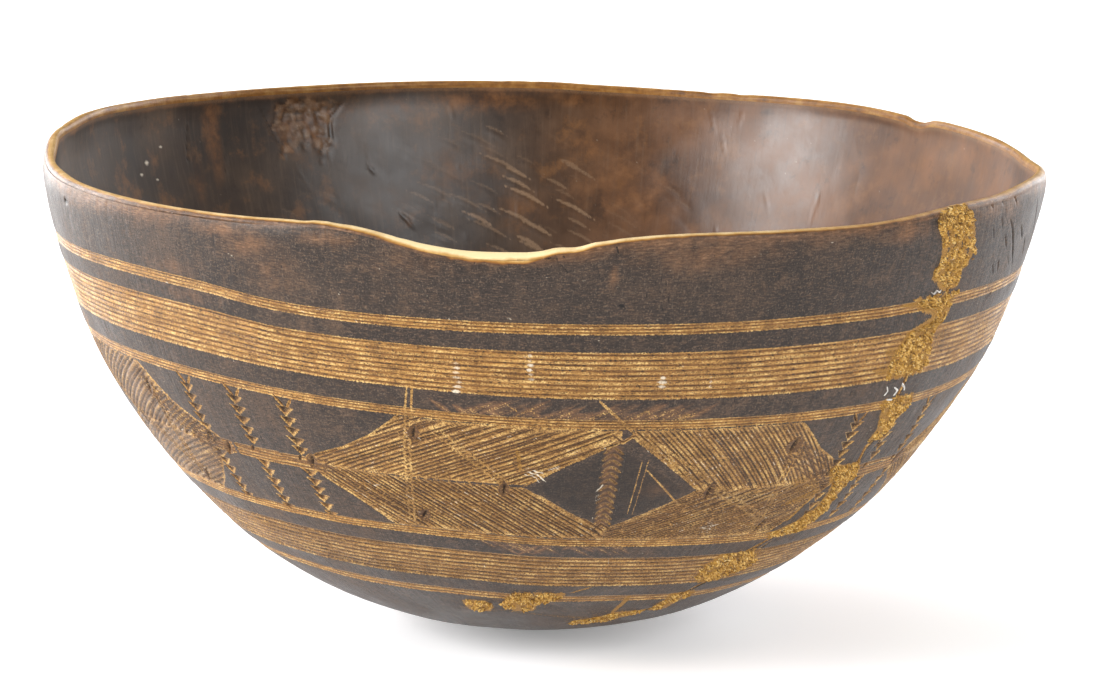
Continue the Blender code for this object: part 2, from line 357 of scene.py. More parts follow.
def cut_pit(skin, corners, deepest, depth, dirt_and_shade=0.6):
    """A chip taken out between convex corners (angle, down), deepest at one place."""
    window = skin.window(corners, 1.5)
    if not window:
        return
    index, across, down, radius = window
    (px, py), = flatten([deepest], radius)
    shape = np.full(down.shape, FAR_AWAY)
    edge = FAR_AWAY
    for (x0, y0), (x1, y1) in sides(flatten(corners, radius)):
        length = math.hypot(x1 - x0, y1 - y0)
        nx, ny = -(y1 - y0) / length, (x1 - x0) / length
        reach = (px - x0) * nx + (py - y0) * ny
        shape = np.minimum(shape, ((across - x0) * nx + (down - y0) * ny) / reach)
        edge = min(edge, abs(reach))
    skin.dig(index, shape, edge, depth, dirt_and_shade, 0.8)


def cut_almond(skin, angle, down, length, width, tilt, depth, dirt_and_shade=0.9, fresh=False):
    """A deep almond-shaped cut, its long way tilted from straight down by tilt degrees."""
    window = skin.window([(angle, down)], length / 2 + 1.5)
    if not window:
        return
    index, across, downs, radius = window
    x, y = across - math.radians(angle) * radius, downs - down
    c, s = math.cos(math.radians(tilt)), math.sin(math.radians(tilt))
    run, side = y * c + x * s, x * c - y * s
    half = width / 2 * np.clip(1 - (2 * run / length) ** 2, 0.02, 1)
    shape = np.where(abs(run) < length / 2, 1 - abs(side) / half, -1)
    skin.dig(index, shape, width / 2, depth, dirt_and_shade, 0.8, fresh)


def blot(skin, mark, angle, down, across_size, down_size, strength, power=1.5):
    """A soft round mark."""
    window = skin.window([(angle, down)], max(across_size, down_size) + 1.0)
    if window:
        index, across, downs, radius = window
        x = (across - math.radians(angle) * radius) / across_size
        y = (downs - down) / down_size
        skin.paint(mark, index, strength * np.clip(1 - np.hypot(x, y), 0, 1) ** power)


# ---------------------------------------------------------------- the outside: its grid and bands

BANDS = [                    # (first groove's level, last groove's level, grooves, depth)
    (34.9, 37.3, 3, 0.36), (45.1, 59.7, 9, 0.5), (69.2, 71.5, 3, 0.34), (124.5, 127.0, 3, 0.36),
    (136.0, 152.8, 8, 0.55), (163.8, 166.2, 2, 0.34),
]
PLAIN_GAPS = [0.7, 0.5, 0.45, 0.41, 0.46, 0.66, 0.9]     # how far apart rows are above each band, and below


def make_levels():
    """The rows: an even number to each groove in the bands, and evenly spread between them."""
    levels = []
    start = 2.4
    for (first, last, grooves, depth), gap in zip(BANDS, PLAIN_GAPS):
        pitch = (last - first) / (grooves - 1)
        top, foot = first - pitch * 0.8, last + pitch * 0.8
        levels.append(np.linspace(start, top, int(round((top - start) / gap)), endpoint=False))
        rows = 5 * (grooves - 1) + 8
        levels.append(top + np.arange(rows) * pitch / 5)
        start = foot
    rows = int(round((BASE_LEVEL - start) / PLAIN_GAPS[-1]))
    levels.append(np.linspace(start, BASE_LEVEL, rows, endpoint=False))
    return np.concatenate(levels)


LEVELS = make_levels()


def cut_ring(skin, level, width, depth):
    """One groove of a band, right round the bowl, with dirt and painted shade lying unevenly in it."""
    rows = np.flatnonzero(abs(LEVELS - level) < width + 1.0)
    away = LEVELS[rows][:, None] - level - waver(0.07)[None, :]
    shape = 1 - abs(away) / (width / 2)
    uneven = 1 + waver(0.16, 14) + rng.normal(0, 0.07, COLUMNS)
    dirt_and_shade = np.clip(0.42 + uneven_run(9, 0.3) + uneven_run(2, 0.22), 0.05, 0.9)
    dots = np.flatnonzero(rng.uniform(0, 1, COLUMNS) < 0.035)
    dirt_and_shade[dots] = 1.3
    dirt_and_shade[(dots + 1) % COLUMNS] = 1.0
    index = np.ix_(rows, np.arange(COLUMNS))
    skin.dig(index, shape, 0.5, depth * uneven[None, :], dirt_and_shade[None, :], 3.5)


def uneven_run(length, size):
    """A random value for each column, changing every few columns."""
    knots = rng.uniform(-1, 1, COLUMNS // length + 1)
    knots[-1] = knots[0]
    return size * np.interp(np.arange(COLUMNS) / length, np.arange(len(knots)), knots)


def carve_bands(skin):
    """The bands of grooves that run round the bowl."""
    for first, last, grooves, depth in BANDS:
        pitch = (last - first) / (grooves - 1)
        for k in range(grooves):
            cut_ring(skin, first + pitch * k, pitch * 1.16, depth)


# ---------------------------------------------------------------- the frieze between the bands

GROUPS = [(-39.3, 0.5), (51.3, 2.4), (141.5, -0.8), (228.4, 1.0)]   # (middle of its chains, lean)
CHAINS = (-8.0, 0.2, 7.7)    # each chain of a group, from its middle
SECTOR = 90.6                # the angle that the motifs below are drawn in

# Corners as (angle from the middle of the chains to the left, level).
LEFT_EDGE = [(22.3, 72.6), (18.3, 82.0), (14.3, 88.9), (9.3, 95.0)]
LOWER_LEFT_EDGE = [(9.3, 103.6), (13.8, 112.2), (18.3, 123.4)]
RIGHT_EDGE = [(72.3, 72.6), (77.3, 85.2), (84.6, 96.8)]
LOWER_RIGHT_EDGE = [(84.6, 102.5), (82.6, 107.0), (79.6, 118.2), (77.2, 123.4)]
DARK_LEFT, DARK_RIGHT, DARK_FOOT = (36.8, 98.6), (60.4, 99.4), (48.2, 118.2)
LEFT_MIDDLE, FOOT_MIDDLE = (9.3, 99.4), (48.2, 123.6)
RIGHT_SEAM = [(84.8, 99.6), (61.6, 100.4)]   # where the two right-hand panels meet
HERRINGBONE = 47.9           # the angle of the column of chevrons


class Sector:
    """One quarter of the frieze: the group of chains on its left and the panel to their right."""

    def __init__(self, number):
        self.start, self.lean = GROUPS[number]
        following = GROUPS[(number + 1) % len(GROUPS)][0] + (360.0 if number == len(GROUPS) - 1 else 0)
        self.scale = (following - self.start) / SECTOR
        self.rough = 0.0 if number == 0 else 0.5

    def at(self, motif_point):
        """A motif point (angle, level) as (angle, down) on this sector, moved a little by hand."""
        angle = self.start + motif_point[0] * self.scale
        level = motif_point[1]
        if self.rough:
            angle += rng.normal(0, 0.2) * self.rough
            level += rng.normal(0, 0.4) * self.rough
        return angle, float(down_of(np.array(angle), np.array(level)))

    def all_at(self, motif_points):
        return [self.at(p) for p in motif_points]


def crossings(corners, tilt, offset):
    """Where a straight line across a region enters and leaves it, in pairs along the line."""
    c, s = math.cos(tilt), math.sin(tilt)
    found = []
    for (x0, y0), (x1, y1) in sides(corners):
        a, b = -x0 * s + y0 * c - offset, -x1 * s + y1 * c - offset
        if (a < 0) != (b < 0):
            t = a / (a - b)
            x, y = x0 + (x1 - x0) * t, y0 + (y1 - y0) * t
            found.append(x * c + y * s)
    found.sort()
    return list(zip(found[::2], found[1::2]))


PAINTED_GLINT_GAP = 9.0              # how far apart the painted glints along a ridge are, on average


def hatch(skin, sector, corners, tilt, pitch, depth, overrun=1.0):
    """Parallel cuts across a region, with painted glints on the ridges between them: short pale dashes of
    the white mark that stand in for highlights. tilt is how steeply they run down to the right, in
    degrees. overrun is how far a cut may run on past the outline."""
    middle = sum(c[1] for c in corners) / len(corners)
    radius = wall_radius(middle)
    flat = [(math.radians(a * sector.scale) * radius, level) for a, level in corners]
    turn = math.radians(tilt)
    c, s = math.cos(turn), math.sin(turn)
    offsets = [-x * s + y * c for x, y in flat]
    offset = min(offsets) + pitch * rng.uniform(0.3, 0.7)
    while offset < max(offsets):
        for start, end in crossings(flat, turn, offset):
            if end - start < 2.0:
                continue
            start -= rng.uniform(-0.5, overrun)
            end += rng.uniform(-0.5, overrun)
            sway = rng.normal(0, 0.012) * (end - start)
            points = []
            for along, side in ((start, 0.0), ((start + end) / 2, rng.normal(0, 0.12)), (end, sway)):
                x, y = along * c - (offset + side) * s, along * s + (offset + side) * c
                points.append(sector.at((math.degrees(x / radius) / sector.scale, y)))
            width = pitch * rng.uniform(0.85, 1.15)
            deep = depth * rng.uniform(0.65, 1.2)
            cut_line(skin, points, width, deep, taper=0.08, dirt_and_shade=rng.uniform(0.5, 1.1))
            # Painted glints: short pale dashes of the white mark along the ridge between two cuts stand in
            # for highlights.
            for painted_glint in range(rng.poisson((end - start) / PAINTED_GLINT_GAP)):
                along = start + (end - start) * rng.uniform(0.05, 0.9)
                side = offset + pitch / 2
                spots = [(t * c - side * s, t * s + side * c) for t in (along, along + rng.uniform(0.5, 2.5))]
                dash = [sector.at((math.degrees(x / radius) / sector.scale, y)) for x, y in spots]
                mark_line(skin, "white", dash, rng.uniform(0.4, 0.6), rng.uniform(0.3, 0.65))
        offset += pitch * rng.uniform(0.86, 1.14)


def region_shape(skin, sector, corners):
    """The cells around a region, and how far each is inside its outline (negative outside)."""
    spots = sector.all_at(corners)
    index, across, down, radius = skin.window(spots, 2.0)
    inside = np.zeros(down.shape, bool)
    nearest = np.full(down.shape, FAR_AWAY)
    for start, end in sides(flatten(spots, radius)):
        nearest = np.minimum(nearest, from_side(across, down, start, end)[1])
        (x0, y0), (x1, y1) = start, end
        if y0 != y1:
            spanned = (y0 <= down) != (y1 <= down)
            inside ^= spanned & (across < x0 + (down - y0) * (x1 - x0) / (y1 - y0))
    return index, np.where(inside, nearest, -nearest)


def fill_region(skin, sector, corners, bare, brown):
    """Lays the wood bare all over a region, more or less browned."""
    index, within = region_shape(skin, sector, corners)
    skin.paint("cut", index, np.clip(within, -1, bare))
    skin.paint("brown", index, brown * np.clip(within / 1.5 + 0.3, 0, 1))


def carve_chain(skin, sector, offset):
    """A column of small triangular chips, with a forked cut at its top."""
    def spot(level, aside):
        lean = sector.lean * (level - 96.0) / 50.0
        angle = sector.start + offset + lean + aside
        return angle, float(down_of(np.array(angle), np.array(level)))

    cut_line(skin, [spot(71.6, -1.1), spot(76.2, 0.1)], 1.5, 0.9, taper=0.3, dirt_and_shade=1.4)
    cut_line(skin, [spot(72.0, 1.4), spot(76.6, 0.2)], 1.1, 0.55, taper=0.3, dirt_and_shade=0.3)
    for first, last, depth, dirt_and_shade in ((75.6, 95.6, 1.15, 1.15), (102.4, 123.0, 0.9, 0.8)):
        pitch = rng.uniform(3.9, 4.2)
        level = first
        while level < last:
            wide = rng.uniform(1.15, 1.4)
            aside = rng.normal(0, 0.06)
            corners = [
                spot(level, aside - 0.95 * wide), spot(level + 0.3, aside + 1.1 * wide),
                spot(level + pitch * 1.02, aside - 0.1),
            ]
            deepest = spot(level + pitch * 0.3, aside - 0.42)
            cut_pit(skin, corners, deepest, depth * rng.uniform(0.8, 1.15), dirt_and_shade)
            level += pitch * rng.uniform(0.94, 1.06)
    for level in (97.4, 98.9, 100.3, 101.7):
        ends = [spot(level + rng.normal(0, 0.2), -4.0), spot(level + rng.normal(0, 0.2), 4.0)]
        cut_line(skin, ends, 1.5, 0.36, taper=0.05, dirt_and_shade=0.45)
    cut_almond(skin, *spot(97.8, -0.7), length=3.2, width=1.8, tilt=-30, depth=0.9, dirt_and_shade=1.0)


def carve_herringbone(skin, sector):
    """The column of small chevrons down the middle of the dark lozenge."""
    middle = sector.all_at([(HERRINGBONE, 78.0), (HERRINGBONE, 118.0)])
    mark_line(skin, "brown", middle, 8.0, 0.9, taper=0.05)
    level = 79.5
    while level < 115.5:
        for side in (-1, 1):
            reach = 1.3 * rng.uniform(0.85, 1.1)
            top = sector.at((HERRINGBONE, level))
            foot = sector.at((HERRINGBONE + side * reach, level + 3.1 * rng.uniform(0.9, 1.1)))
            strength, bare = (0.55, 0.16) if side > 0 else (0.45, 0.04)
            depth = strength * rng.uniform(0.8, 1.2)
            cut_line(skin, [top, foot], 1.1, depth, taper=0.15, dirt_and_shade=0.5, bare=bare)
        level += 2.75 * rng.uniform(0.92, 1.08)
    for aside in (-1.45, 1.5):
        ends = sector.all_at([(HERRINGBONE + aside, 80), (HERRINGBONE + aside, 116)])
        mark_line(skin, "white", ends, 0.6, 0.3, taper=0.1)
    top_fork = sector.all_at([(47.5, 74.4), (48.9, 77.6), (50.3, 74.2)])
    cut_line(skin, top_fork, 1.3, 0.5, taper=0.1, dirt_and_shade=0.3)
    foot_fork = sector.all_at([(46.9, 118.6), (47.8, 115.4), (49.6, 119.2)])
    cut_line(skin, foot_fork, 1.4, 0.5, taper=0.1, dirt_and_shade=0.4)


def carve_panel(skin, sector):
    """The hatched lozenges either side of the dark one."""
    upper_left = LEFT_EDGE[::-1] + [(48.7, 72.6), (48.7, 77.4), (36.8, 97.4), LEFT_MIDDLE]
    lower_left = [LEFT_MIDDLE, DARK_LEFT, DARK_FOOT, FOOT_MIDDLE] + LOWER_LEFT_EDGE[::-1]
    upper_right = [(50.0, 75.6), (50.2, 72.6)] + RIGHT_EDGE + RIGHT_SEAM + [DARK_RIGHT]
    lower_right = [DARK_FOOT, DARK_RIGHT] + RIGHT_SEAM[::-1] + LOWER_RIGHT_EDGE + [FOOT_MIDDLE]
    upper_tilt, coarse, upper_brown, lower_brown = 48, 1.0, 0.5, 1.05
    if sector.rough:
        upper_tilt, coarse, upper_brown, lower_brown = -30, 1.5, 1.1, 1.2
    fill_region(skin, sector, upper_left, bare=0.12, brown=0.45)
    fill_region(skin, sector, lower_left, bare=0.12, brown=0.7)
    fill_region(skin, sector, upper_right, bare=0.12, brown=upper_brown)
    fill_region(skin, sector, lower_right, bare=0.2, brown=lower_brown)
    index, within = region_shape(skin, sector, [DARK_LEFT, (48.4, 77.0), DARK_RIGHT, (48.4, 118.6)])
    skin.paint("dirt_and_shade", index, 0.42 * np.clip(within / 3.0, 0, 1))
    hatch(skin, sector, upper_left, tilt=-28, pitch=1.4, depth=0.6)
    hatch(skin, sector, lower_left, tilt=40, pitch=1.5, depth=0.6)
    hatch(skin, sector, upper_right, tilt=upper_tilt, pitch=1.3 * coarse, depth=0.55)
    hatch(skin, sector, lower_right, tilt=-24, pitch=1.15 * coarse, depth=0.45, overrun=0.5)


def carve_overruns(skin, sector):
    """Hatch cuts that ran on past the narrow bands into the plain wood."""
    for first, last, level, rise, gap in ((29.0, 56.0, 69.4, -1, 0.5), (30.0, 52.0, 126.8, 1, 1.0)):
        angle = first
        while angle < last:
            reach = rng.uniform(3.0, 8.0)
            lean = rng.choice((0.62, 0.62, -0.5)) if rise > 0 or angle < 40 else 0.62
            start = sector.at((angle, level))
            end = sector.at((angle + reach * lean, level + rise * reach))
            mark_line(skin, "brown", [start, end], 3.0, rng.uniform(0.3, 0.8), taper=0.4)
            mark_line(skin, "worn", [start, end], rng.uniform(0.5, 0.8), rng.uniform(0.3, 0.75), taper=0.5)
            cut_line(skin, [start, end], 0.6, 0.1, taper=0.5, dirt_and_shade=0.3, bare=0.01)
            angle += gap * rng.uniform(0.6, 1.7)


# The deep cuts at the lozenges' corners: (motif point, length, width, tilt).
CORNER_CUTS = [
    ((23.9, 78.9), 5.6, 2.5, -12), ((23.0, 117.2), 5.2, 2.6, -28), ((34.5, 100.3), 5.4, 2.3, -8),
    ((8.8, 98.2), 5.8, 2.6, -14), ((72.5, 82.5), 6.2, 4.0, -10), ((62.2, 100.4), 6.2, 2.3, -6),
    ((85.2, 100.9), 5.4, 2.6, -24), ((74.4, 119.0), 5.6, 1.9, -22),
]

# The lines that the carver drew the lozenges with: (motif points, width, depth).
DRAWN_LINES = [
    (LEFT_EDGE, 0.9, 0.3), (LOWER_LEFT_EDGE, 0.8, 0.25), (RIGHT_EDGE, 0.9, 0.3),
    ([DARK_LEFT, (47.6, 77.8)], 0.9, 0.3), ([(50.1, 75.4), DARK_RIGHT], 1.1, 0.4),
    ([DARK_LEFT, (46.9, 118.0)], 0.9, 0.3), ([DARK_RIGHT, (49.6, 118.0)], 0.8, 0.25),
    ([(45.6, 61.2), (48.4, 69.0), (50.2, 74.2)], 1.0, 0.22),
    ([(50.4, 75.0), (61.8, 99.4), (66.3, 106.0), (73.3, 116.6), (75.6, 123.6)], 0.9, 0.34),
    ([(51.6, 74.6), (62.9, 98.6), (67.4, 105.2), (74.4, 115.8), (76.6, 123.2)], 0.9, 0.34),
    ([(24.6, 58.5), (23.3, 83.0), (22.3, 103.6), (21.2, 123.6)], 0.9, 0.34),
    ([(23.9, 59.5), (22.6, 83.0), (21.6, 103.6), (20.5, 123.0)], 0.8, 0.3),
    ([(73.1, 81.0), (72.9, 122.0)], 0.9, 0.32), ([(73.9, 81.0), (73.7, 121.0)], 0.9, 0.32),
    ([(26.3, 77.8), (34.3, 98.3)], 0.9, 0.3), ([(27.2, 77.0), (35.2, 97.2)], 0.8, 0.26),
    ([(51.7, 85.0), (51.2, 111.0)], 0.5, 0.12), ([(52.5, 84.0), (51.9, 112.0)], 0.4, 0.1),
    ([(52.3, 89.0), (58.6, 107.0)], 0.6, 0.16), ([(53.2, 91.5), (57.6, 104.6)], 0.5, 0.1),
    ([(82.1, 107.0), (79.5, 119.0)], 1.0, 0.25),
]


def carve_borders(skin, sector):
    """The lines that the carver drew the lozenges with, and the deep cuts at their corners."""
    for points, width, depth in DRAWN_LINES:
        cut_line(skin, sector.all_at(points), width, depth, taper=0.05, dirt_and_shade=0.4, bare=0.22, fresh=True)
    for k in range(6):
        ends = [(73.8 - k * 0.5, 82.0 + k * 1.15), (84.0 - k * 0.55, 97.4 + k * 1.05)]
        cut_line(skin, sector.all_at(ends), 1.25, 0.5, taper=0.05, dirt_and_shade=0.5)
    for corner, length, width, tilt in CORNER_CUTS:
        spot = sector.at(corner)
        cut_almond(skin, *spot, length * 1.3, width * 1.9, tilt, depth=0.55, dirt_and_shade=0.15, fresh=True)
        for side in (-1, 1):
            aside = side * math.degrees(width * 0.62 / wall_radius(spot[1]))
            lean = math.degrees(math.tan(math.radians(tilt)) * length * 0.4 / wall_radius(spot[1]))
            top = (spot[0] + aside - lean, spot[1] - length * 0.4)
            foot = (spot[0] + aside + lean, spot[1] + length * 0.4)
            mark_line(skin, "worn", [top, foot], 0.9, 0.55, taper=0.3)
        cut_almond(skin, *spot, length * 0.9, width * 0.62, tilt, depth=1.4, dirt_and_shade=1.1)


def brown_lower_band(skin):
    """The lower wide band is browner and greyer to the left of the front."""
    rows = np.flatnonzero((LEVELS > 134.8) & (LEVELS < 154.2))
    left = 1.6 * np.clip((-ANGLES - 2.0) / 22.0, 0, 1) * np.clip((100.0 + ANGLES) / 20.0, 0, 1)
    patches = 0.75 + 0.35 * soft_noise(skin.down, COLUMNS, 14.0, 26.0)[rows]
    skin.paint("brown", np.ix_(rows, np.arange(COLUMNS)), np.maximum(left, 0.85)[None, :] * patches)


def carve_frieze(skin):
    for number in range(len(GROUPS)):
        sector = Sector(number)
        carve_panel(skin, sector)
        carve_overruns(skin, sector)
        carve_borders(skin, sector)
        for offset in CHAINS:
            carve_chain(skin, sector, offset)
        carve_herringbone(skin, sector)


# ---------------------------------------------------------------- wear and painted highlight, cracks and stains outside

def under_rim(skin):
    """How far each cell is below the rim's top."""
    return skin.down - rim_down(ring_angles(skin.columns))[None, :]

# How wide the worn edge is, how pale (worn wood, and a painted highlight, palest at the front and left),
# and how far its bevel cuts back, as (angle, value).
EDGE_WIDTH = [
    (-180, 0.5), (-75, 0.35), (-45, 0.4), (-28, 0.5), (-18, 0.9), (-10, 1.5), (-3, 1.7), (0.5, 1.0),
    (6, 0.6), (18, 0.45), (30, 0.5), (42, 0.5), (48, 0.6), (62, 0.6), (75, 0.6), (120, 0.5),
]
EDGE_PALE = [
    (-180, 0.5), (-110, 0.56), (-75, 0.64), (-50, 0.66), (-35, 0.7), (-20, 0.8), (-11, 0.92),
    (-2, 0.92), (1, 0.84), (10, 0.78), (22, 0.7), (32, 0.6), (45, 0.5), (60, 0.5), (80, 0.56), (120, 0.5),
]
EDGE_BEVEL = [
    (-180, 0.5), (-60, 0.5), (-25, 0.6), (-12, 1.7), (-4, 1.9), (0.5, 0.9), (8, 0.4), (30, 0.7),
    (60, 0.8), (120, 0.5),
]
SHOULDER = 9.0               # how far below the rim the wall starts to round over
SHOULDER_IN = 1.1


def shoulder(below):
    """How far the rounded shoulder lies in from the wall's outline."""
    return SHOULDER_IN * np.clip(1 - below / SHOULDER, 0, 1) ** 2.2


def wear_rim(skin):
    """The rubbed edge: a pale bevel, worn and painted paler as a highlight, and a browned border under it."""
    below = under_rim(skin)
    angles = ANGLES[None, :]
    wide = round_bowl(EDGE_WIDTH, angles) * (1 + waver(0.25, 20)[None, :])
    bevel = round_bowl(EDGE_BEVEL, angles)
    share = np.clip(1 - below / (wide * 1.25), 0, 1)
    skin.relief -= bevel * share ** 1.6 + shoulder(below)
    frayed = 0.25 * soft_noise(skin.down, COLUMNS, 2.0, 4.0)
    pale = round_bowl(EDGE_PALE, angles)
    skin.marks["worn"] = pale * np.clip(1.35 - below / wide * 0.7 + frayed, 0, 1)
    reach = 5.0 + 2.5 * np.sin(np.radians(angles * 5 + 20)) + waver(1.6, 12)[None, :]
    reach = np.maximum(reach, 1.5)
    browned = np.clip(1.2 - below / reach, 0, 1) * 0.9
    skin.marks["brown"] = np.maximum(skin.marks["brown"], browned)


# Rubbed brown places: (angle, down, half width, half height, strength).
BROWN_PLACES = [
    (41, 11, 20, 6, 0.95), (37, 9, 14, 4, 0.8), (57, 9, 26, 7, 0.7), (-33, 12, 22, 9, 0.7),
    (-30, 20, 18, 14, 0.5), (-44, 24, 26, 8, 0.5), (-43, 33, 22, 5, 0.5), (-52, 5, 40, 4, 0.8),
    (7, 18, 3, 7, 0.7), (12, 14, 10, 5, 0.5), (-22, 9, 16, 5, 0.6), (25, 11, 18, 4, 0.4),
    (16, 101, 14, 6, 0.7), (17, 12, 46, 10, 0.75), (30, 10, 20, 6, 0.6), (-14, 15, 30, 8, 0.4),
    (-36, 8, 24, 5, 0.9), (-24, 8, 14, 5, 0.8), (62, 11, 16, 8, 0.7), (95, 14, 40, 9, 0.7),
    (140, 12, 30, 8, 0.6), (-120, 10, 44, 8, 0.7), (-160, 16, 30, 12, 0.5), (175, 9, 22, 6, 0.6),
]

# Flecks of white paint: (points as angle and down, width, strength).
WHITE_FLECKS = [
    ([(-2.0, 91.0), (-0.4, 92.6), (0.6, 95.6)], 1.2, 0.9),
    ([(-2.4, 92.2), (-0.8, 93.4), (-0.2, 96.0)], 0.9, 0.8), ([(-1.2, 90.6), (0.4, 92.0)], 1.4, 0.8),
    ([(0.6, 90.8), (2.4, 88.8)], 1.0, 0.8), ([(8.0, 96.6), (7.6, 98.6), (7.0, 100.6)], 1.3, 0.8),
    ([(7.6, 101.4), (7.1, 103.0)], 0.9, 0.7),
    ([(-9.8, 98.2), (-11.4, 100.0), (-12.0, 102.2)], 0.7, 0.4),
    ([(-12.4, 98.2), (-12.0, 100.2)], 0.7, 0.35), ([(-15.0, 77.6), (-14.6, 79.2)], 1.0, 0.7),
    ([(-22.6, 100.8), (-21.4, 100.2)], 1.5, 0.6), ([(-35.4, 16.0), (-34.6, 16.8)], 1.1, 0.6),
    ([(-42.2, 13.0), (-41.6, 15.4)], 0.8, 0.5), ([(-15.4, 17.6), (-14.8, 16.4)], 0.7, 0.6),
    ([(-4.0, 32.0), (-3.4, 33.0)], 1.5, 0.5), ([(3.2, 19.4), (4.4, 19.8)], 0.8, 0.5),
    ([(5.2, 40.6), (6.0, 40.2)], 0.7, 0.6), ([(11.3, 33.8), (12.2, 33.8)], 0.6, 0.5),
    ([(2.6, 10.0), (3.0, 13.0), (3.6, 16.0)], 0.6, 0.4),
    ([(27.5, 121.0), (24.0, 122.4), (26.5, 123.8)], 1.3, 0.6),
    ([(24.6, 119.8), (26.0, 121.0)], 0.9, 0.6), ([(11.0, 136.2), (11.3, 141.0)], 0.9, 0.6),
    ([(41.0, 84.0), (41.3, 86.0)], 0.7, 0.4), ([(34.2, 78.8), (34.6, 80.0)], 0.6, 0.4),
    ([(21.0, 79.6), (22.6, 82.6)], 1.6, 0.45), ([(32.2, 95.2), (33.0, 98.0)], 1.0, 0.5),
    ([(45.6, 84.0), (46.2, 85.0)], 0.8, 0.5),
]

# Runs of white flecks, one on each ridge of the upper band: (angle, first down, last down, width).
FLECK_RUNS = [(-9.7, 48.6, 59.0, 3.0), (-1.4, 45.4, 55.4, 2.6), (19.0, 55.0, 60.0, 1.6)]
RIDGE_GAP = 1.72


def fleck_ridges(skin):
    """White flecks that lie above one another on the ridges of the upper band."""
    for angle, first, last, wide in FLECK_RUNS:
        down = first
        while down < last:
            size = wide * (0.55 + 0.45 * (down - first) / (last - first)) * rng.uniform(0.7, 1.1)
            aside = rng.normal(0, 0.12)
            points = [(angle + aside - size * 0.2, down), (angle + aside + size * 0.2, down + 0.2)]
            mark_line(skin, "white", points, 1.9, rng.uniform(0.4, 0.6), taper=0.3)
            down += RIDGE_GAP
    for down, size in ((54.3, 0.35), (55.9, 0.6), (57.5, 0.45)):
        points = [(13.3 - size, down), (13.3 + size, down + 0.3)]
        mark_line(skin, "white", points, 2.0, 0.55, taper=0.3)


def stain_outside(skin):
    """Rubbed brown places, flecks of white paint and fine white scratches."""
    for angle, down, across, tall, strength in BROWN_PLACES:
        blot(skin, "brown", angle, down, across, tall, strength, power=1.0)
    fleck_ridges(skin)
    for points, width, strength in WHITE_FLECKS:
        mark_line(skin, "white", points, width * 0.7, strength * 0.8)
    for angle, down in scattered(900, ALL_ROUND, (6, 160)):
        length, slant = rng.uniform(-1.2, 1.2), rng.normal(0, 0.45)
        points = [(angle, down), (angle + slant, down + length)]
        mark_line(skin, "white", points, rng.uniform(0.35, 0.65), rng.uniform(0.15, 0.6))
    for angle, down in scattered(260, ALL_ROUND, (4, 33)):
        length, slant = rng.uniform(-5, 5), rng.normal(0, 1.5)
        points = [(angle, down), (angle + slant, down + length)]
        mark_line(skin, "white", points, 0.4, rng.uniform(0.15, 0.4), taper=0.4)


# Drying cracks and gouges: (points as angle and down, width, depth).
OUTSIDE_CRACKS = [
    ([(61.8, 13.4), (64.0, 19.0), (66.2, 27.0), (68.6, 34.6)], 1.1, 0.8),
    ([(63.6, 18.4), (65.4, 24.4), (67.4, 29.6)], 0.9, 0.7), ([(61.6, 19.6), (63.6, 25.6)], 1.0, 0.7),
    ([(66.8, 18.6), (69.4, 24.8)], 1.0, 0.7), ([(59.4, 12.4), (60.6, 17.6)], 0.7, 0.5),
    ([(57.8, 15.0), (58.6, 20.0)], 0.6, 0.4), ([(60.2, 29.0), (61.6, 34.0)], 0.7, 0.5),
    ([(61.9, 28.6), (62.9, 33.6)], 1.1, 0.8), ([(64.6, 28.0), (66.6, 33.0)], 0.6, 0.4),
    ([(55.8, 5.6), (57.4, 9.2)], 0.8, 0.7), ([(58.6, 6.2), (60.2, 9.0)], 0.6, 0.4),
    ([(61.4, 5.0), (63.0, 7.6), (63.8, 11.0)], 0.8, 0.7),
    ([(72.0, 10.0), (75.0, 22.0), (77.5, 31.0)], 0.9, 0.7), ([(70.5, 24.0), (73.0, 33.0)], 0.8, 0.6),
    ([(78.0, 15.0), (81.0, 27.0)], 0.8, 0.6), ([(61.5, 42.8), (63.4, 40.8)], 1.0, 0.6),
    ([(84.5, 12.0), (86.5, 22.0)], 0.9, 0.6), ([(-0.9, 11.2), (0.3, 12.6), (1.9, 11.8)], 1.0, 0.7),
    ([(0.9, 10.4), (1.2, 13.4), (2.6, 18.0)], 0.6, 0.5), ([(7.0, 7.2), (7.4, 11.4)], 1.1, 0.6),
    ([(124.6, 6.6), (125.0, 13.0), (124.2, 22.0)], 0.9, 0.8),
    ([(-102.0, 8.0), (-101.0, 24.0)], 0.8, 0.6), ([(-140.0, 62.0), (-136.0, 67.0)], 0.8, 0.5),
]

# Dents: (angle, down, width).
DENTS = [
    (-66.4, 10.2, 2.6), (-58.0, 3.4, 1.2), (-54.0, 4.0, 1.4), (-47.5, 4.2, 1.2), (8.0, 28.4, 1.8),
    (36.6, 8.2, 1.4), (99.0, 20.0, 2.0), (-118.0, 15.0, 1.8),
]

# Fine upright marks: (first angle, last angle, first down, last down, how many, lean).
FINE_MARKS = [
    (50, 60, 80, 101, 60, 0.6), (50, 60, 108, 124, 50, 0.9), (52, 66, 8, 34, 46, 2.0),
    (-180, 180, 6, 33, 420, 0.2), (-180, 180, 38, 44, 110, 0.2), (-180, 180, 61, 68, 110, 0.3),
    (-180, 180, 156, 200, 180, 0.5),
]


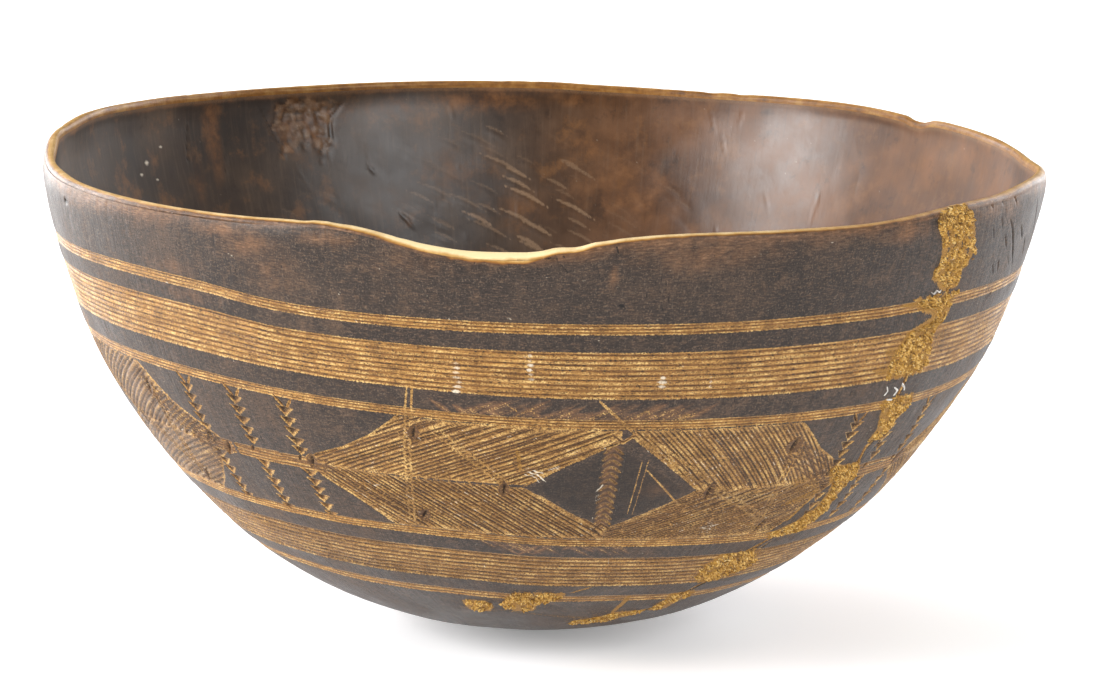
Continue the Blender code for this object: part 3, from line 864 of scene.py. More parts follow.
def crack_outside(skin):
    """Drying cracks, dents and scratches, which lay no wood bare at the rim's edge."""
    for points, width, depth in OUTSIDE_CRACKS:
        cut_line(skin, points, width, depth, taper=0.3, dirt_and_shade=1.0)
    for angle, down, size in DENTS:
        cut_almond(skin, angle, down, size * 1.4, size, tilt=70, depth=0.5, dirt_and_shade=1.0)
    for low, high, first, last, count, lean in FINE_MARKS:
        for angle, down in scattered(count, (low, high), (first, last)):
            length = rng.uniform(1.5, 6.0)
            points = [(angle, down), (angle + rng.normal(lean, 0.3) * length / 6, down + length)]
            cut_line(skin, points, rng.uniform(0.4, 0.7), rng.uniform(0.03, 0.12), taper=0.4, dirt_and_shade=0.9)
    skin.marks["cut"] = np.where(under_rim(skin) < 2.0, -1.0, skin.marks["cut"])


MM_PER_DEGREE = 2.9          # how wide a degree of the wall is, near enough, where the filler is

# The drying crack that the filler stops, from the rim to the base: (angle, down).
CRACK = [
    (49.6, 3.0), (50.2, 12), (50.0, 22), (50.6, 32), (51.4, 40), (50.0, 46), (47.6, 55), (48.4, 64),
    (48.2, 72), (49.4, 80), (49.8, 88), (47.6, 94), (48.2, 101), (45.6, 107), (46.8, 118), (45.6, 128),
    (40.5, 134), (35.6, 143), (35.0, 151), (34.0, 160), (31.0, 169), (30.4, 179), (22.0, 186), (11.0, 192),
]

# Each filler run of the CAD, as stations of (down, left, right).
FILLERS = {
    "crack_filler_rim": [
        (5.4, 46.6, 50.8), (8.4, 46.4, 52.2), (12, 46.6, 53.2), (16, 47.2, 53.9), (21, 47.6, 54.3),
        (25, 47.6, 54.4), (27.5, 46.6, 52.8), (30, 48.0, 52.8), (34, 50.0, 52.6),
    ],
    "crack_filler_upper_bands": [
        (35.4, 44.6, 53.0), (39.4, 46.2, 53.0), (41.4, 49.6, 52.6), (45, 49.2, 52.0),
        (48, 45.6, 50.8), (52, 44.6, 50.9), (58, 43.6, 51.6), (65, 44.4, 51.8),
    ],
    "crack_filler_frieze_top": [
        (73, 45.4, 51.8), (77.6, 46.2, 52.4), (81, 46.9, 51.2), (86, 48.0, 50.8), (91.6, 47.6, 49.4),
    ],
    "crack_filler_frieze_foot": [
        (101, 43.0, 48.6), (106, 43.6, 49.4), (110, 45.6, 49.0), (117, 46.0, 48.6), (124, 45.6, 48.8),
        (128.5, 42.6, 48.8), (132, 38.8, 48.0), (135, 39.0, 46.0),
    ],
    "crack_filler_lower_band": [
        (140.5, 31.6, 38.6), (146, 30.2, 40.0), (151, 29.4, 42.0), (156, 29.8, 41.0), (160.5, 32.6, 36.4),
    ],
    "crack_filler_foot_right": [
        (167.6, 28.2, 32.8), (172, 28.4, 35.0), (176, 28.4, 32.4), (180, 27.4, 32.0), (184.4, 27.8, 31.6),
    ],
    "crack_filler_foot_front": [
        (182.6, 18.6, 26.4), (187, 15.6, 25.6), (190.5, 8.8, 21.4), (195.4, 8.0, 19.0),
    ],
    "crack_filler_foot_middle": [
        (160.0, -4.6, 5.2), (164, -6.2, 5.2), (168, -7.0, 0.8), (172, -7.0, -0.8), (177, -4.8, -1.4),
    ],
    "crack_filler_foot_left": [(168.4, -15.2, -11.4), (173, -15.6, -9.8), (178.6, -14.6, -11.4)],
}


# Filler rubbed into the cuts beside the crack: (points as angle and down, width, strength).
PASTE_SMEARS = [
    ([(43.0, 37.2), (46.5, 37.6), (53.0, 38.4)], 3.4, 0.8), ([(42.5, 53.0), (46.0, 56.0)], 6.0, 0.6),
    ([(41.5, 60.0), (45.0, 62.0)], 4.0, 0.6), ([(50.5, 50.0), (51.5, 62.0)], 5.0, 0.6),
    ([(36.0, 103.0), (40.0, 108.0), (43.0, 113.0)], 12.0, 0.42),
    ([(37.0, 116.0), (43.0, 112.0)], 6.0, 0.55), ([(42.8, 112.0), (40.3, 126.5)], 1.6, 0.8),
    ([(36.0, 128.0), (30.0, 122.0)], 3.0, 0.5), ([(38.0, 131.5), (48.5, 131.0)], 4.5, 0.7),
    ([(44.0, 103.0), (50.0, 107.0)], 6.0, 0.7), ([(29.0, 147.0), (43.0, 152.0)], 9.0, 0.7),
    ([(40.0, 142.0), (43.0, 158.0)], 4.0, 0.5), ([(17.6, 184.0), (18.6, 166.0)], 3.0, 0.8),
    ([(5.7, 161.0), (10.0, 155.6)], 1.6, 0.8), ([(-10.0, 176.0), (16.0, 189.0)], 4.0, 0.45),
    ([(45.2, 120.0), (47.8, 118.0)], 5.0, 0.7), ([(-14.0, 170.0), (-6.0, 165.0)], 3.0, 0.4),
    ([(-3.0, 81.0), (-2.6, 91.0)], 2.4, 0.6),
]


def open_crack(skin):
    """The crack itself, and the filler rubbed into the cuts beside it."""
    cut_line(skin, [(a, d) for a, d in CRACK if d < BASE_LEVEL], 1.6, 1.5, taper=0.02, dirt_and_shade=1.0)
    for side in (-1, 1):
        branch = [(a + side * rng.uniform(0.3, 0.9), d + 2) for a, d in CRACK[::2]]
        for start, end in zip(branch, branch[1:]):
            middle = ((start[0] + end[0]) / 2 + side * 0.4, (start[1] + end[1]) / 2)
            cut_line(skin, [start, middle], 0.8, 0.7, taper=0.4, dirt_and_shade=1.0)
    for stations in FILLERS.values():
        for (d0, l0, r0), (d1, l1, r1) in zip(stations, stations[1:]):
            for share in np.linspace(0.1, 0.9, 5):
                start, end = l0 + (r0 - l0) * share, l1 + (r1 - l1) * share
                mark_line(skin, "paste", [(start, d0), (end, d1)], 5.0, 0.9, taper=0.05)
    for stations in FILLERS.values():
        for (d0, l0, r0), (d1, l1, r1) in zip(stations, stations[1:]):
            middle = [((l0 + r0) / 2, d0), ((l1 + r1) / 2, d1)]
            mark_line(skin, "paste", middle, (r0 - l0) * MM_PER_DEGREE + 9.0, 0.36, taper=0.02)
    for points, width, strength in PASTE_SMEARS:
        mark_line(skin, "paste", points, width, strength)


# Unevenness of the surfaces, from broad to fine: (size down, size across, height).
OUTSIDE_UNEVENNESS = [(34.0, 46.0, 0.28), (12.0, 16.0, 0.09), (2.2, 2.6, 0.045), (7.0, 0.9, 0.03)]
INSIDE_UNEVENNESS = [(30.0, 40.0, 0.5), (9.0, 12.0, 0.12)]


def make_outside():
    """The outside's skin: the carving first, then what happened to the bowl since."""
    down = down_of(ANGLES[None, :], LEVELS[:, None])
    skin = Skin(down, COLUMNS)
    carve_bands(skin)
    carve_frieze(skin)
    brown_lower_band(skin)
    bare = skin.marks["cut"].copy()
    crack_outside(skin)
    # Cracks and dents in the dark skin don't lay the pale wood bare.
    skin.marks["cut"] = np.maximum(bare, np.minimum(skin.marks["cut"], -0.4))
    open_crack(skin)
    wear_rim(skin)
    stain_outside(skin)
    for cell_down, cell_across, size in OUTSIDE_UNEVENNESS:
        skin.relief += size * soft_noise(down, COLUMNS, cell_down, cell_across)
    return skin


# ---------------------------------------------------------------- the rim

RIM_THICKNESS = 4.3
RIM_ROUND = 2.2              # how far down the rounding of the rim reaches
RIM_TURNS = [8, 20, 33, 46, 60, 74, 88, 102, 116, 130, 144, 158, 171]   # degrees round the rim's section


def rim_row(turn, thick, bevel, wide, chips):
    """One row over the rim: its distance down, how far out it lies, and its marks."""
    c, s = math.cos(math.radians(turn)), math.sin(math.radians(turn))
    out = -thick / 2 + thick / 2 * math.copysign(abs(c) ** 0.75, c)
    below = RIM_ROUND * (1 - s ** 0.8)
    outer = np.clip(1 + out / thick, 0, 1)
    out = out - (bevel * np.clip(1 - below / (wide * 1.25), 0, 1) ** 1.6 + shoulder(below)) * outer
    down = rim_down(ANGLES) + below + chips * s
    marks = blank_marks(COLUMNS)
    pale = round_bowl(EDGE_PALE, ANGLES)
    inner = 0.75 * np.clip(turn / 90.0, 0, 1)
    marks["worn"] = pale * np.clip(np.maximum(1.35 - below / wide * 0.7, inner) + waver(0.08, 90), 0, 1)
    marks["brown"] = np.full(COLUMNS, 0.8)
    return down, out, marks


# ---------------------------------------------------------------- the inside

INSIDE_COLUMNS = 1280
INSIDE_ROWS = 232


def scoop(skin, angle, down, length, width, run, depth):
    """A shallow adze stroke. run is how many degrees it moves round for each millimetre down."""
    points = [(angle, down), (angle + run * length, down + length)]
    window = skin.window(points, width + 1.0)
    if not window:
        return
    shape, ends = line_shape(window, points, width, 0.3)
    index = window[0]
    bowl = np.clip(shape, 0, 1)
    skin.relief[index] = np.minimum(skin.relief[index], -depth * ends * (1 - (1 - bowl) ** 2))


RIDGE_LEAN = 0.68            # degrees that a ridge moves round for each millimetre down


def adze_ridge(skin, angle, down, length, strength):
    """A thin ridge left standing between two strokes, painted lighter along its top as rubbing and as a
    highlight; the stroke below it is darkened with dirt and painted shade.
    """
    middle = (angle - RIDGE_LEAN * length * 0.5, down + length * 0.4)
    points = [(angle, down), middle, (angle - RIDGE_LEAN * length, down + length)]
    window = skin.window(points, 3.0)
    shape, ends = line_shape(window, points, 3.4, 0.35)
    skin.relief[window[0]] += 0.4 * strength * ends * np.clip(shape, 0, 1)
    beside = [(a, d + 2.2) for a, d in points]
    cut_line(skin, beside, 3.2, 0.4 * strength, taper=0.4, dirt_and_shade=0.6 * strength)
    mark_line(skin, "worn", points, 2.3, strength, taper=0.35)


# The columns of ridges on the far wall: (angle, strength).
RIDGE_COLUMNS = [(-162.0, 0.5), (-167.5, 0.85), (-174.0, 1.0), (-181.0, 0.8), (-188.0, 0.4)]


def adze_inside(skin):
    """Strokes of the adze: broad soft ones all over, and a close set of ridges on the far wall."""
    for angle, down in scattered(420, ALL_ROUND, (20, 215)):
        length, width = rng.uniform(14, 30), rng.uniform(10, 16)
        scoop(skin, angle, down, length, width, rng.normal(0, 0.2), rng.uniform(0.03, 0.14))
    down = 17.0
    while down < 92.0:
        for start, strength in RIDGE_COLUMNS:
            if rng.uniform() < 0.85:
                angle = start + rng.uniform(-2.4, 2.4) - (down - 40) * 0.08
                adze_ridge(skin, angle, down + rng.uniform(-1.6, 1.6), rng.uniform(4.5, 9.5),
                           strength * rng.uniform(0.45, 0.9) * min(1.0, 0.1 + down / 50.0))
        down += rng.uniform(3.6, 5.0)
    for angle, down in scattered(40, (-200, -140), (26, 95)):
        adze_ridge(skin, angle, down, rng.uniform(3, 7), rng.uniform(0.15, 0.35))


def rough_patch(skin, angle, down, across_size, down_size):
    """A knobbly place where a knot has broken out."""
    index, across, downs, radius = skin.window([(angle, down)], max(across_size, down_size) + 2.0)
    x = (across - math.radians(angle) * radius) / across_size
    y = (downs - down) / down_size
    bumps, number = lumps(across + 0 * downs, downs + 0 * across, 3.0)
    small, other = lumps(across + 0 * downs, downs + 0 * across, 1.9)
    inside = np.clip((1 - np.hypot(x, y)) * 3 + (number - 0.5) * 1.6, 0, 1)
    skin.relief[index] += inside * (0.3 * bumps + 0.3 * small + 0.3 * (other - 0.5) - 0.5)
    skin.paint("brown", index, inside * (0.4 + 0.6 * number))
    skin.paint("worn", index, inside * np.clip(0.1 + 0.45 * number * bumps + other * 0.3, 0, 0.6))
    skin.paint("dirt_and_shade", index, inside * np.clip(0.6 - 1.6 * small - 0.8 * bumps, 0, 0.6))
    outline = np.clip(1 - abs(np.hypot(x, y) - 0.95) * 7, 0, 1) * (number > 0.45)
    skin.paint("dirt_and_shade", index, 0.6 * outline * (y > -0.2))


# Brown stains inside: (angle, down, half width, half height, strength).
INSIDE_STAINS = [
    (-146, 14, 20, 16, 1.0), (-152, 10, 14, 7, 0.7), (-172, 7, 40, 8, 0.9), (174, 6, 26, 6, 0.9),
    (-160, 8, 22, 6, 0.8), (160, 8, 30, 8, 0.6), (140, 10, 40, 9, 0.5), (-132, 12, 7, 30, 0.9),
    (-128, 30, 6, 20, 0.6), (-168, 34, 26, 22, 0.6), (-176, 52, 24, 16, 0.6), (-158, 50, 16, 20, 0.4),
    (150, 60, 60, 46, 0.5), (130, 40, 50, 50, 0.5), (110, 30, 50, 50, 0.5), (168, 45, 40, 24, 0.7),
    (158, 66, 44, 18, 0.8), (172, 26, 36, 12, 0.6),
]

# Cracks inside: (points as angle and down, width, depth).
INSIDE_CRACKS = [
    ([(-152.5, 6), (-150.6, 12), (-150.4, 20), (-148.0, 27)], 1.5, 1.0),
    ([(-140.2, 4), (-141.4, 12), (-143.0, 22)], 1.2, 0.8), ([(-155.0, 31), (-156.8, 36)], 1.2, 0.6),
    ([(-128.0, 6), (-126.5, 26)], 1.2, 0.8), ([(-134.0, 16), (-133.0, 34)], 0.9, 0.5),
    ([(124.5, 5), (124.8, 10)], 1.2, 0.7), ([(-158.8, 50), (-160.2, 54), (-161.4, 59)], 1.3, 0.7),
]


KNOTS = [(-144.6, 15, 9.5, 12), (-149.2, 17, 5, 12), (-147.0, 7, 16, 5)]   # as stains, without strength
INSIDE_SPOTS = [(-118.5, 20, 2.0), (-116.8, 24, 1.6), (-120.0, 27, 1.3), (-122.0, 15, 1.4)]


def spoil_inside(skin):
    """The knot under the far rim, stains, flecks and scratches."""
    for angle, down, across, tall, strength in INSIDE_STAINS:
        blot(skin, "brown", angle, down, across, tall, strength, power=0.8)
    for angle, down, across, tall in KNOTS:
        rough_patch(skin, angle, down, across, tall)
    for points, width, depth in INSIDE_CRACKS:
        cut_line(skin, points, width, depth, taper=0.3, dirt_and_shade=1.0)
    for angle, down in scattered(420, ALL_ROUND, (4, 160)):
        length = rng.uniform(0.3, 1.2)
        points = [(angle, down), (angle + rng.normal(0, 0.3), down + length)]
        mark_line(skin, "white", points, 1.1, rng.uniform(0.15, 0.5))
    for angle, down, size in INSIDE_SPOTS:
        blot(skin, "white", angle, down, size, size * 0.7, strength=0.9, power=0.6)
    for angle, down in scattered(360, ALL_ROUND, (6, 190)):
        length = rng.uniform(3, 14)
        points = [(angle, down), (angle + rng.normal(-0.1, 0.12) * length, down + length)]
        cut_line(skin, points, rng.uniform(0.9, 1.4), rng.uniform(0.05, 0.2), taper=0.4, dirt_and_shade=0.5)


def make_inside(first_down, last_down):
    """The inside's skin. Its rows lie closer together near the rim."""
    share = np.linspace(0, 1, INSIDE_ROWS)[:, None] ** 1.04
    down = first_down + (last_down - first_down) * share
    skin = Skin(down, INSIDE_COLUMNS)
    adze_inside(skin)
    spoil_inside(skin)
    for cell_down, cell_across, size in INSIDE_UNEVENNESS:
        skin.relief += size * soft_noise(down, INSIDE_COLUMNS, cell_down, cell_across)
    skin.relief *= np.clip((down - first_down) / 4.0 + 0.1, 0, 1) * np.clip((250 - down) / 12.0, 0, 1)
    edge = np.clip(1.3 - (down - first_down) / 2.0, 0, 1)
    skin.marks["worn"] = np.maximum(skin.marks["worn"], 0.4 * edge)
    skin.marks["brown"] = np.maximum(skin.marks["brown"], edge)
    return skin


# ---------------------------------------------------------------- building closed meshes

def add_mark(mesh, name, values, kind="FLOAT", key="value"):
    """Gives each point of a mesh a value that the materials can read."""
    mesh.attributes.new(name, kind, "POINT").data.foreach_set(key, values.astype(np.float32).ravel())


def add_object(name, mesh):
    mesh.validate()
    thing = bpy.data.objects.new(name, mesh)
    bpy.context.scene.collection.objects.link(thing)
    return thing


class Shell:
    """Rings of points joined into one closed mesh, from a first centre point to a last one."""

    def __init__(self):
        self.points, self.marks, self.faces, self.inside = [], [], [], []
        self.count = 0
        self.last = None

    def add(self, points, marks, place_on_band, inside=False):
        """Adds one ring. A ring may have half or twice the points of the one before it."""
        number = np.arange(self.count, self.count + len(points))
        self.points.append(points)
        self.marks.append(np.column_stack([marks[name] for name in MARKS] + [place_on_band]))
        self.count += len(points)
        if self.last is not None:
            self.join(self.last, number, inside)
        self.last = number

    def join(self, upper, lower, inside):
        """Joins two rings with faces: quads, or triangles where the number of points changes."""
        if len(lower) == 1 or len(upper) == 1:
            ring, point = (upper, lower[0]) if len(lower) == 1 else (lower, upper[0])
            follow = np.roll(ring, -1)
            pair = (ring, follow) if len(lower) == 1 else (follow, ring)
            faces = np.column_stack((pair[0], np.full(len(ring), point), pair[1]))
        elif len(lower) == len(upper):
            faces = np.column_stack((upper, lower, np.roll(lower, -1), np.roll(upper, -1)))
        elif len(lower) * 2 == len(upper):
            even, odd, after = upper[::2], upper[1::2], np.roll(upper[::2], -1)
            following = np.roll(lower, -1)
            faces = np.vstack((
                np.column_stack((even, lower, odd)), np.column_stack((odd, lower, following)),
                np.column_stack((odd, following, after)),
            ))
        else:
            even, odd, after = lower[::2], lower[1::2], np.roll(lower[::2], -1)
            following = np.roll(upper, -1)
            faces = np.vstack((
                np.column_stack((upper, even, odd)), np.column_stack((upper, odd, following)),
                np.column_stack((following, odd, after)),
            ))
        self.faces.append(faces)
        self.inside.append(np.full(len(faces), inside))

    def build(self, name, materials):
        points = np.vstack(self.points)
        sizes = np.concatenate([np.full(len(f), f.shape[1]) for f in self.faces])
        corners = np.concatenate([f.ravel() for f in self.faces])
        mesh = bpy.data.meshes.new(name)
        mesh.vertices.add(len(points))
        mesh.vertices.foreach_set("co", points.astype(np.float32).ravel())
        mesh.loops.add(len(corners))
        mesh.loops.foreach_set("vertex_index", corners.astype(np.int32))
        mesh.polygons.add(len(sizes))
        starts = np.concatenate(([0], np.cumsum(sizes)[:-1]))
        mesh.polygons.foreach_set("loop_start", starts.astype(np.int32))
        for material in materials:
            mesh.materials.append(material)
        slots = np.concatenate(self.inside).astype(np.int32)
        mesh.polygons.foreach_set("material_index", slots)
        mesh.polygons.foreach_set("use_smooth", np.ones(len(sizes), bool))
        values = np.vstack(self.marks)
        for i, mark in enumerate(MARKS):
            add_mark(mesh, mark, values[:, i])
        add_mark(mesh, "band_place", values[:, -3:], "FLOAT_VECTOR", "vector")
        mesh.update()
        return add_object(name, mesh)


def on_band(angles, levels):
    """A place that streaks can follow: round the bowl at an even size, and down by level."""
    turn = np.radians(angles)
    return np.column_stack((150 * np.sin(turn), -150 * np.cos(turn), -levels + 0 * turn))


def add_skin_row(shell, skin, row, out, levels, inside):
    angles = ring_angles(skin.columns)
    marks = {name: skin.marks[name][row] for name in MARKS}
    shell.add(place(angles, skin.down[row], out) + CENTRE, marks, on_band(angles, levels), inside)


FOOT_DOWN = WALL[0][-1]      # where the outline ends, at the edge of the flat foot
FLOOR_DOWN = FOOT_DOWN - 1.5     # where the wall of the hollow ends
INSIDE_START = 2.6           # how far below the rim's top the inside's rows start
AXIS = np.array([[-LEAN * RIM_LINE * 0.001, 0.0, 0.0]])     # the middle of the foot, in metres
FLOOR_POINT = np.array([[0.0, 0.0, -FOOT_DOWN]])             # its place for the streaks


def wall_thickness(down):
    return np.interp(down, *np.array(THICKNESS).T)


def add_base(shell, skin):
    """From the last row of the outside to the middle of the foot, with fewer points each time."""
    start = skin.down[-1].mean()
    for columns, first, last, rows in (
        (1280, 0.03, 0.3, 8), (640, 0.38, 0.76, 8), (320, 0.83, 1.0, 4),
    ):
        angles = ring_angles(columns)
        for share in np.linspace(first, last, rows):
            down = np.full(columns, start + (FOOT_DOWN - start) * share)
            relief = skin.relief[-1][:: COLUMNS // columns] * (1 - share)
            points = place(angles, down, relief) + CENTRE
            shell.add(points, blank_marks(columns), on_band(angles, down))
    angles = ring_angles(160)
    edge = np.full(160, FOOT_DOWN)
    for share in (0.65, 0.3):
        ring = place(angles, edge, 0.0) * share + AXIS * (1 - share)
        shell.add(ring + CENTRE, blank_marks(160), on_band(angles, edge))
    shell.add(AXIS + CENTRE, blank_marks(1), FLOOR_POINT)


def add_hollow_floor(shell):
    """The floor of the hollow, from its middle outwards."""
    out = -wall_thickness(FLOOR_DOWN)
    middle = AXIS + (0, 0, float(place(0.0, FLOOR_DOWN, out)[2]))
    shell.add(middle + CENTRE, blank_marks(1), FLOOR_POINT, True)
    for columns, share in ((160, 0.35), (320, 0.65), (640, 0.9)):
        angles = ring_angles(columns)
        ring = place(angles, np.full(columns, FLOOR_DOWN), out)
        ring = ring * (share, share, 1.0) + AXIS * (1 - share) + CENTRE
        shell.add(ring, blank_marks(columns), on_band(angles, np.full(columns, FOOT_DOWN)), True)


def add_hollow_wall(shell, inside, rim_wall):
    """The inside skin from the floor up, running into the rim's own thickness near the top."""
    for row in range(len(inside.down) - 1, -1, -1):
        down = inside.down[row]
        fade = np.clip(1 - (down - inside.down[0]) / 12.0, 0, 1)
        thickness = wall_thickness(down) * (1 - fade) + rim_wall[::2] * fade
        add_skin_row(shell, inside, row, -thickness - inside.relief[row], down, True)


def make_bowl(materials):
    """The whole skin, from the middle of the hollow's floor, up over the rim, and down to the foot."""
    outside = make_outside()
    rim_wall = RIM_THICKNESS * (1 + waver(0.13, 16))
    bevel = round_bowl(EDGE_BEVEL, ANGLES)
    wide = round_bowl(EDGE_WIDTH, ANGLES)
    chips = np.clip(waver(0.35, 60) - 0.25, 0, 0.8)
    inside = make_inside(rim_down(ring_angles(INSIDE_COLUMNS))[None, :] + INSIDE_START, FLOOR_DOWN)
    shell = Shell()
    add_hollow_floor(shell)
    add_hollow_wall(shell, inside, rim_wall)
    for turn in RIM_TURNS[::-1]:
        down, out, marks = rim_row(turn, rim_wall, bevel, wide, chips)
        shell.add(place(ANGLES, down, out) + CENTRE, marks, on_band(ANGLES, down))
    for row in range(len(outside.down)):
        add_skin_row(shell, outside, row, outside.relief[row], LEVELS[row], False)
    add_base(shell, outside)
    return shell.build("carved_bowl_wood", materials)


# ---------------------------------------------------------------- the filler and the glue

GRAIN = 0.22                 # how far apart the filler's points are
LUMP = 0.55                  # how wide a grain of the filler is
SIDE_RAGGED, END_RAGGED = 2.6, 1.2      # how far its edges run in and out
FILLER_ROOT, SMEAR_ROOT = -1.4, -0.8    # how far its underside lies under the wall's outline


def lumps(x, y, size):
    """Packed round grains over a flat patch: their height from 0 to 1, and each one's own number."""
    low_x, low_y = x.min() - size, y.min() - size
    across, tall = x.max() - low_x + size, y.max() - low_y + size
    columns, rows = int(across / size) + 1, int(tall / size) + 1
    spots = np.stack(np.meshgrid(np.arange(columns), np.arange(rows)), axis=-1) * size
    spots = spots + rng.uniform(-0.5, 0.5, spots.shape) * size + (low_x, low_y)
    numbers = rng.uniform(0, 1, (rows, columns))
    tall_of = rng.uniform(0.35, 1.0, (rows, columns))
    height, number = np.full(x.shape, -1.0), np.zeros(x.shape)
    i = ((x - low_x) / size).astype(int)
    j = ((y - low_y) / size).astype(int)
    for dj in (-1, 0, 1, 2):
        for di in (-1, 0, 1, 2):
            a, b = np.clip(j + dj, 0, rows - 1), np.clip(i + di, 0, columns - 1)
            away = np.hypot(x - spots[a, b, 0], y - spots[a, b, 1]) / (size * 0.78)
            here = tall_of[a, b] - away ** 2
            better = here > height
            height = np.where(better, here, height)
            number = np.where(better, numbers[a, b], number)
    return np.clip(height, 0, 1), number


def ragged(count, step, size):
    """A ragged edge: a run of small ins and outs."""
    value = np.zeros(count)
    for wave, part in ((6.0, 0.5), (2.6, 0.35), (1.2, 0.25)):
        knots = rng.uniform(-1, 1, int(count * step / wave) + 3)
        value += part * np.interp(np.arange(count) * step / wave, np.arange(len(knots)), knots)
    return value * size


def closed_patch(name, top, bottom, values, material):
    """A closed mesh between two grids of points, with attributes given on the top one."""
    rows, columns = top.shape[:2]
    shift = rows * columns
    number = np.arange(shift).reshape(rows, columns)
    quads = np.stack((number[:-1, :-1], number[1:, :-1], number[1:, 1:], number[:-1, 1:]), -1).reshape(-1, 4)
    edge = np.concatenate((number[:-1, 0], number[-1, :-1], number[:0:-1, -1], number[0, :0:-1]))
    after = np.roll(edge, -1)
    walls = np.stack((edge, edge + shift, after + shift, after), -1)
    faces = [quads, quads[:, [0, 3, 2, 1]] + shift, walls]
    mesh = bpy.data.meshes.new(name)
    points = np.concatenate((top.reshape(-1, 3), bottom.reshape(-1, 3)))
    mesh.from_pydata(points.tolist(), [], np.concatenate(faces).tolist())
    mesh.shade_smooth()
    for mark, value in values.items():
        add_mark(mesh, mark, np.tile(value.ravel(), 2))
    mesh.materials.append(material)
    return add_object(name, mesh)


def make_filler(node, stations, material):
    """A run of sawdust filler, a ragged and grainy strip lying in the crack."""
    table = np.array(stations)
    rows = int((table[-1, 0] - table[0, 0]) / GRAIN) + 2
    down = np.linspace(table[0, 0], table[-1, 0], rows)
    radius = np.interp(down, WALL[0], WALL[1])
    to_degrees = np.degrees(1.0 / radius)
    left = np.interp(down, table[:, 0], table[:, 1]) + ragged(rows, GRAIN, SIDE_RAGGED) * to_degrees
    right = np.interp(down, table[:, 0], table[:, 2]) + ragged(rows, GRAIN, SIDE_RAGGED) * to_degrees
    right = np.maximum(right, left + 1.0 * to_degrees)
    columns = int(((right - left) / to_degrees).max() / GRAIN) + 2
    share = np.linspace(0, 1, columns)[None, :]
    angle = left[:, None] + (right - left)[:, None] * share
    downs = np.repeat(down[:, None], columns, axis=1)
    for share_at_top, share_at_foot in ((1, 0), (0, 1)):
        fade = np.linspace(share_at_top, share_at_foot, rows)[:, None]
        downs = downs + ragged(columns, GRAIN, END_RAGGED)[None, :] * fade
    x = np.radians(angle) * radius[:, None]
    grain, number = lumps(x, downs, LUMP)
    fine, other = lumps(x, downs, LUMP * 0.5)
    from_edge = np.minimum(share, 1 - share) * (right - left)[:, None] / to_degrees[:, None]
    from_end = np.minimum(down - down[0], down[-1] - down)[:, None]
    edge = np.clip(np.minimum(from_edge, from_end) / 0.8, 0, 1) ** 0.6
    swell = 0.25 + 0.25 * np.sin(x * 0.9 + downs * 0.5) * np.cos(downs * 0.7 - x * 0.4)
    gaps = np.clip(lumps(x, downs, 2.6)[0] * 2.2, 0.25, 1)
    out = -0.55 + edge * gaps * (0.3 + swell + 0.75 * grain + 0.25 * fine)
    top = place(angle, downs, out) + CENTRE
    bottom = place(angle, downs, np.full(out.shape, FILLER_ROOT)) + CENTRE
    values = {"grain": number, "pit": 1 - grain * gaps, "fine": other}
    return closed_patch(node + "_sawdust", top, bottom, values, material)


SMEARS = [                   # strings and drops of white glue: (points as angle and down, width)
    ([(45.0, 67.0), (45.6, 69.4), (45.2, 71.6)], 1.3), ([(46.4, 68.0), (47.6, 70.0), (47.2, 72.6)], 1.1),
    ([(48.0, 67.4), (48.9, 69.6), (49.2, 71.4)], 1.0), ([(46.0, 73.0), (47.6, 73.8)], 0.9),
    ([(47.6, 33.9), (48.2, 34.8), (48.6, 33.6), (49.2, 34.6), (49.6, 33.8)], 0.6),
    ([(49.8, 22.6), (50.2, 23.4)], 1.0), ([(50.3, 19.6), (50.6, 20.2)], 0.8),
]


def make_smears(material):
    """The smears and drops of white glue beside the filler, each a small closed drop of its own."""
    bulk = []
    for points, width in SMEARS:
        table = np.array(points, float)
        run = np.concatenate(([0], np.cumsum(np.hypot(*(np.diff(table, axis=0) * (MM_PER_DEGREE, 1)).T))))
        rows = max(8, int(run[-1] / 0.3))
        along = np.linspace(0, run[-1], rows)
        angle, down = np.interp(along, run, table[:, 0]), np.interp(along, run, table[:, 1])
        radius = np.interp(down, WALL[0], WALL[1])
        step_a, step_d = np.gradient(np.radians(angle) * radius), np.gradient(down)
        length = np.hypot(step_a, step_d) + 1e-6
        ends = np.clip(np.sin(np.linspace(0.12, math.pi - 0.12, rows)) * 1.6, 0.1, 1)
        half = width * 0.4 * ends * (1 + ragged(rows, 0.3, 0.6))
        side = np.linspace(-1, 1, 9)
        aside = half[:, None] * side[None, :]
        across = np.radians(angle)[:, None] * radius[:, None] - aside * (step_d / length)[:, None]
        downs = down[:, None] + aside * (step_a / length)[:, None]
        angles = np.degrees(across / radius[:, None])
        out = -0.25 + (0.62 * np.sqrt(1 - 0.96 * side ** 2))[None, :] * ends[:, None]
        top = place(angles, downs, out) + CENTRE
        bottom = place(angles, downs, np.full(out.shape, SMEAR_ROOT)) + CENTRE
        bulk.append(closed_patch("glue_smear", top, bottom, {}, material))
    for thing in bulk:
        thing.select_set(True)
    bpy.context.view_layer.objects.active = bulk[0]
    bpy.ops.object.join()
    bulk[0].name = "glue_smears"
    return bulk[0]

# ---------------------------------------------------------------- materials

def colour(code):
    """The linear colour of an sRGB hex code."""
    parts = [int(code[i:i + 2], 16) / 255 for i in (0, 2, 4)]
    return [c / 12.92 if c <= 0.04045 else ((c + 0.055) / 1.055) ** 2.4 for c in parts] + [1.0]


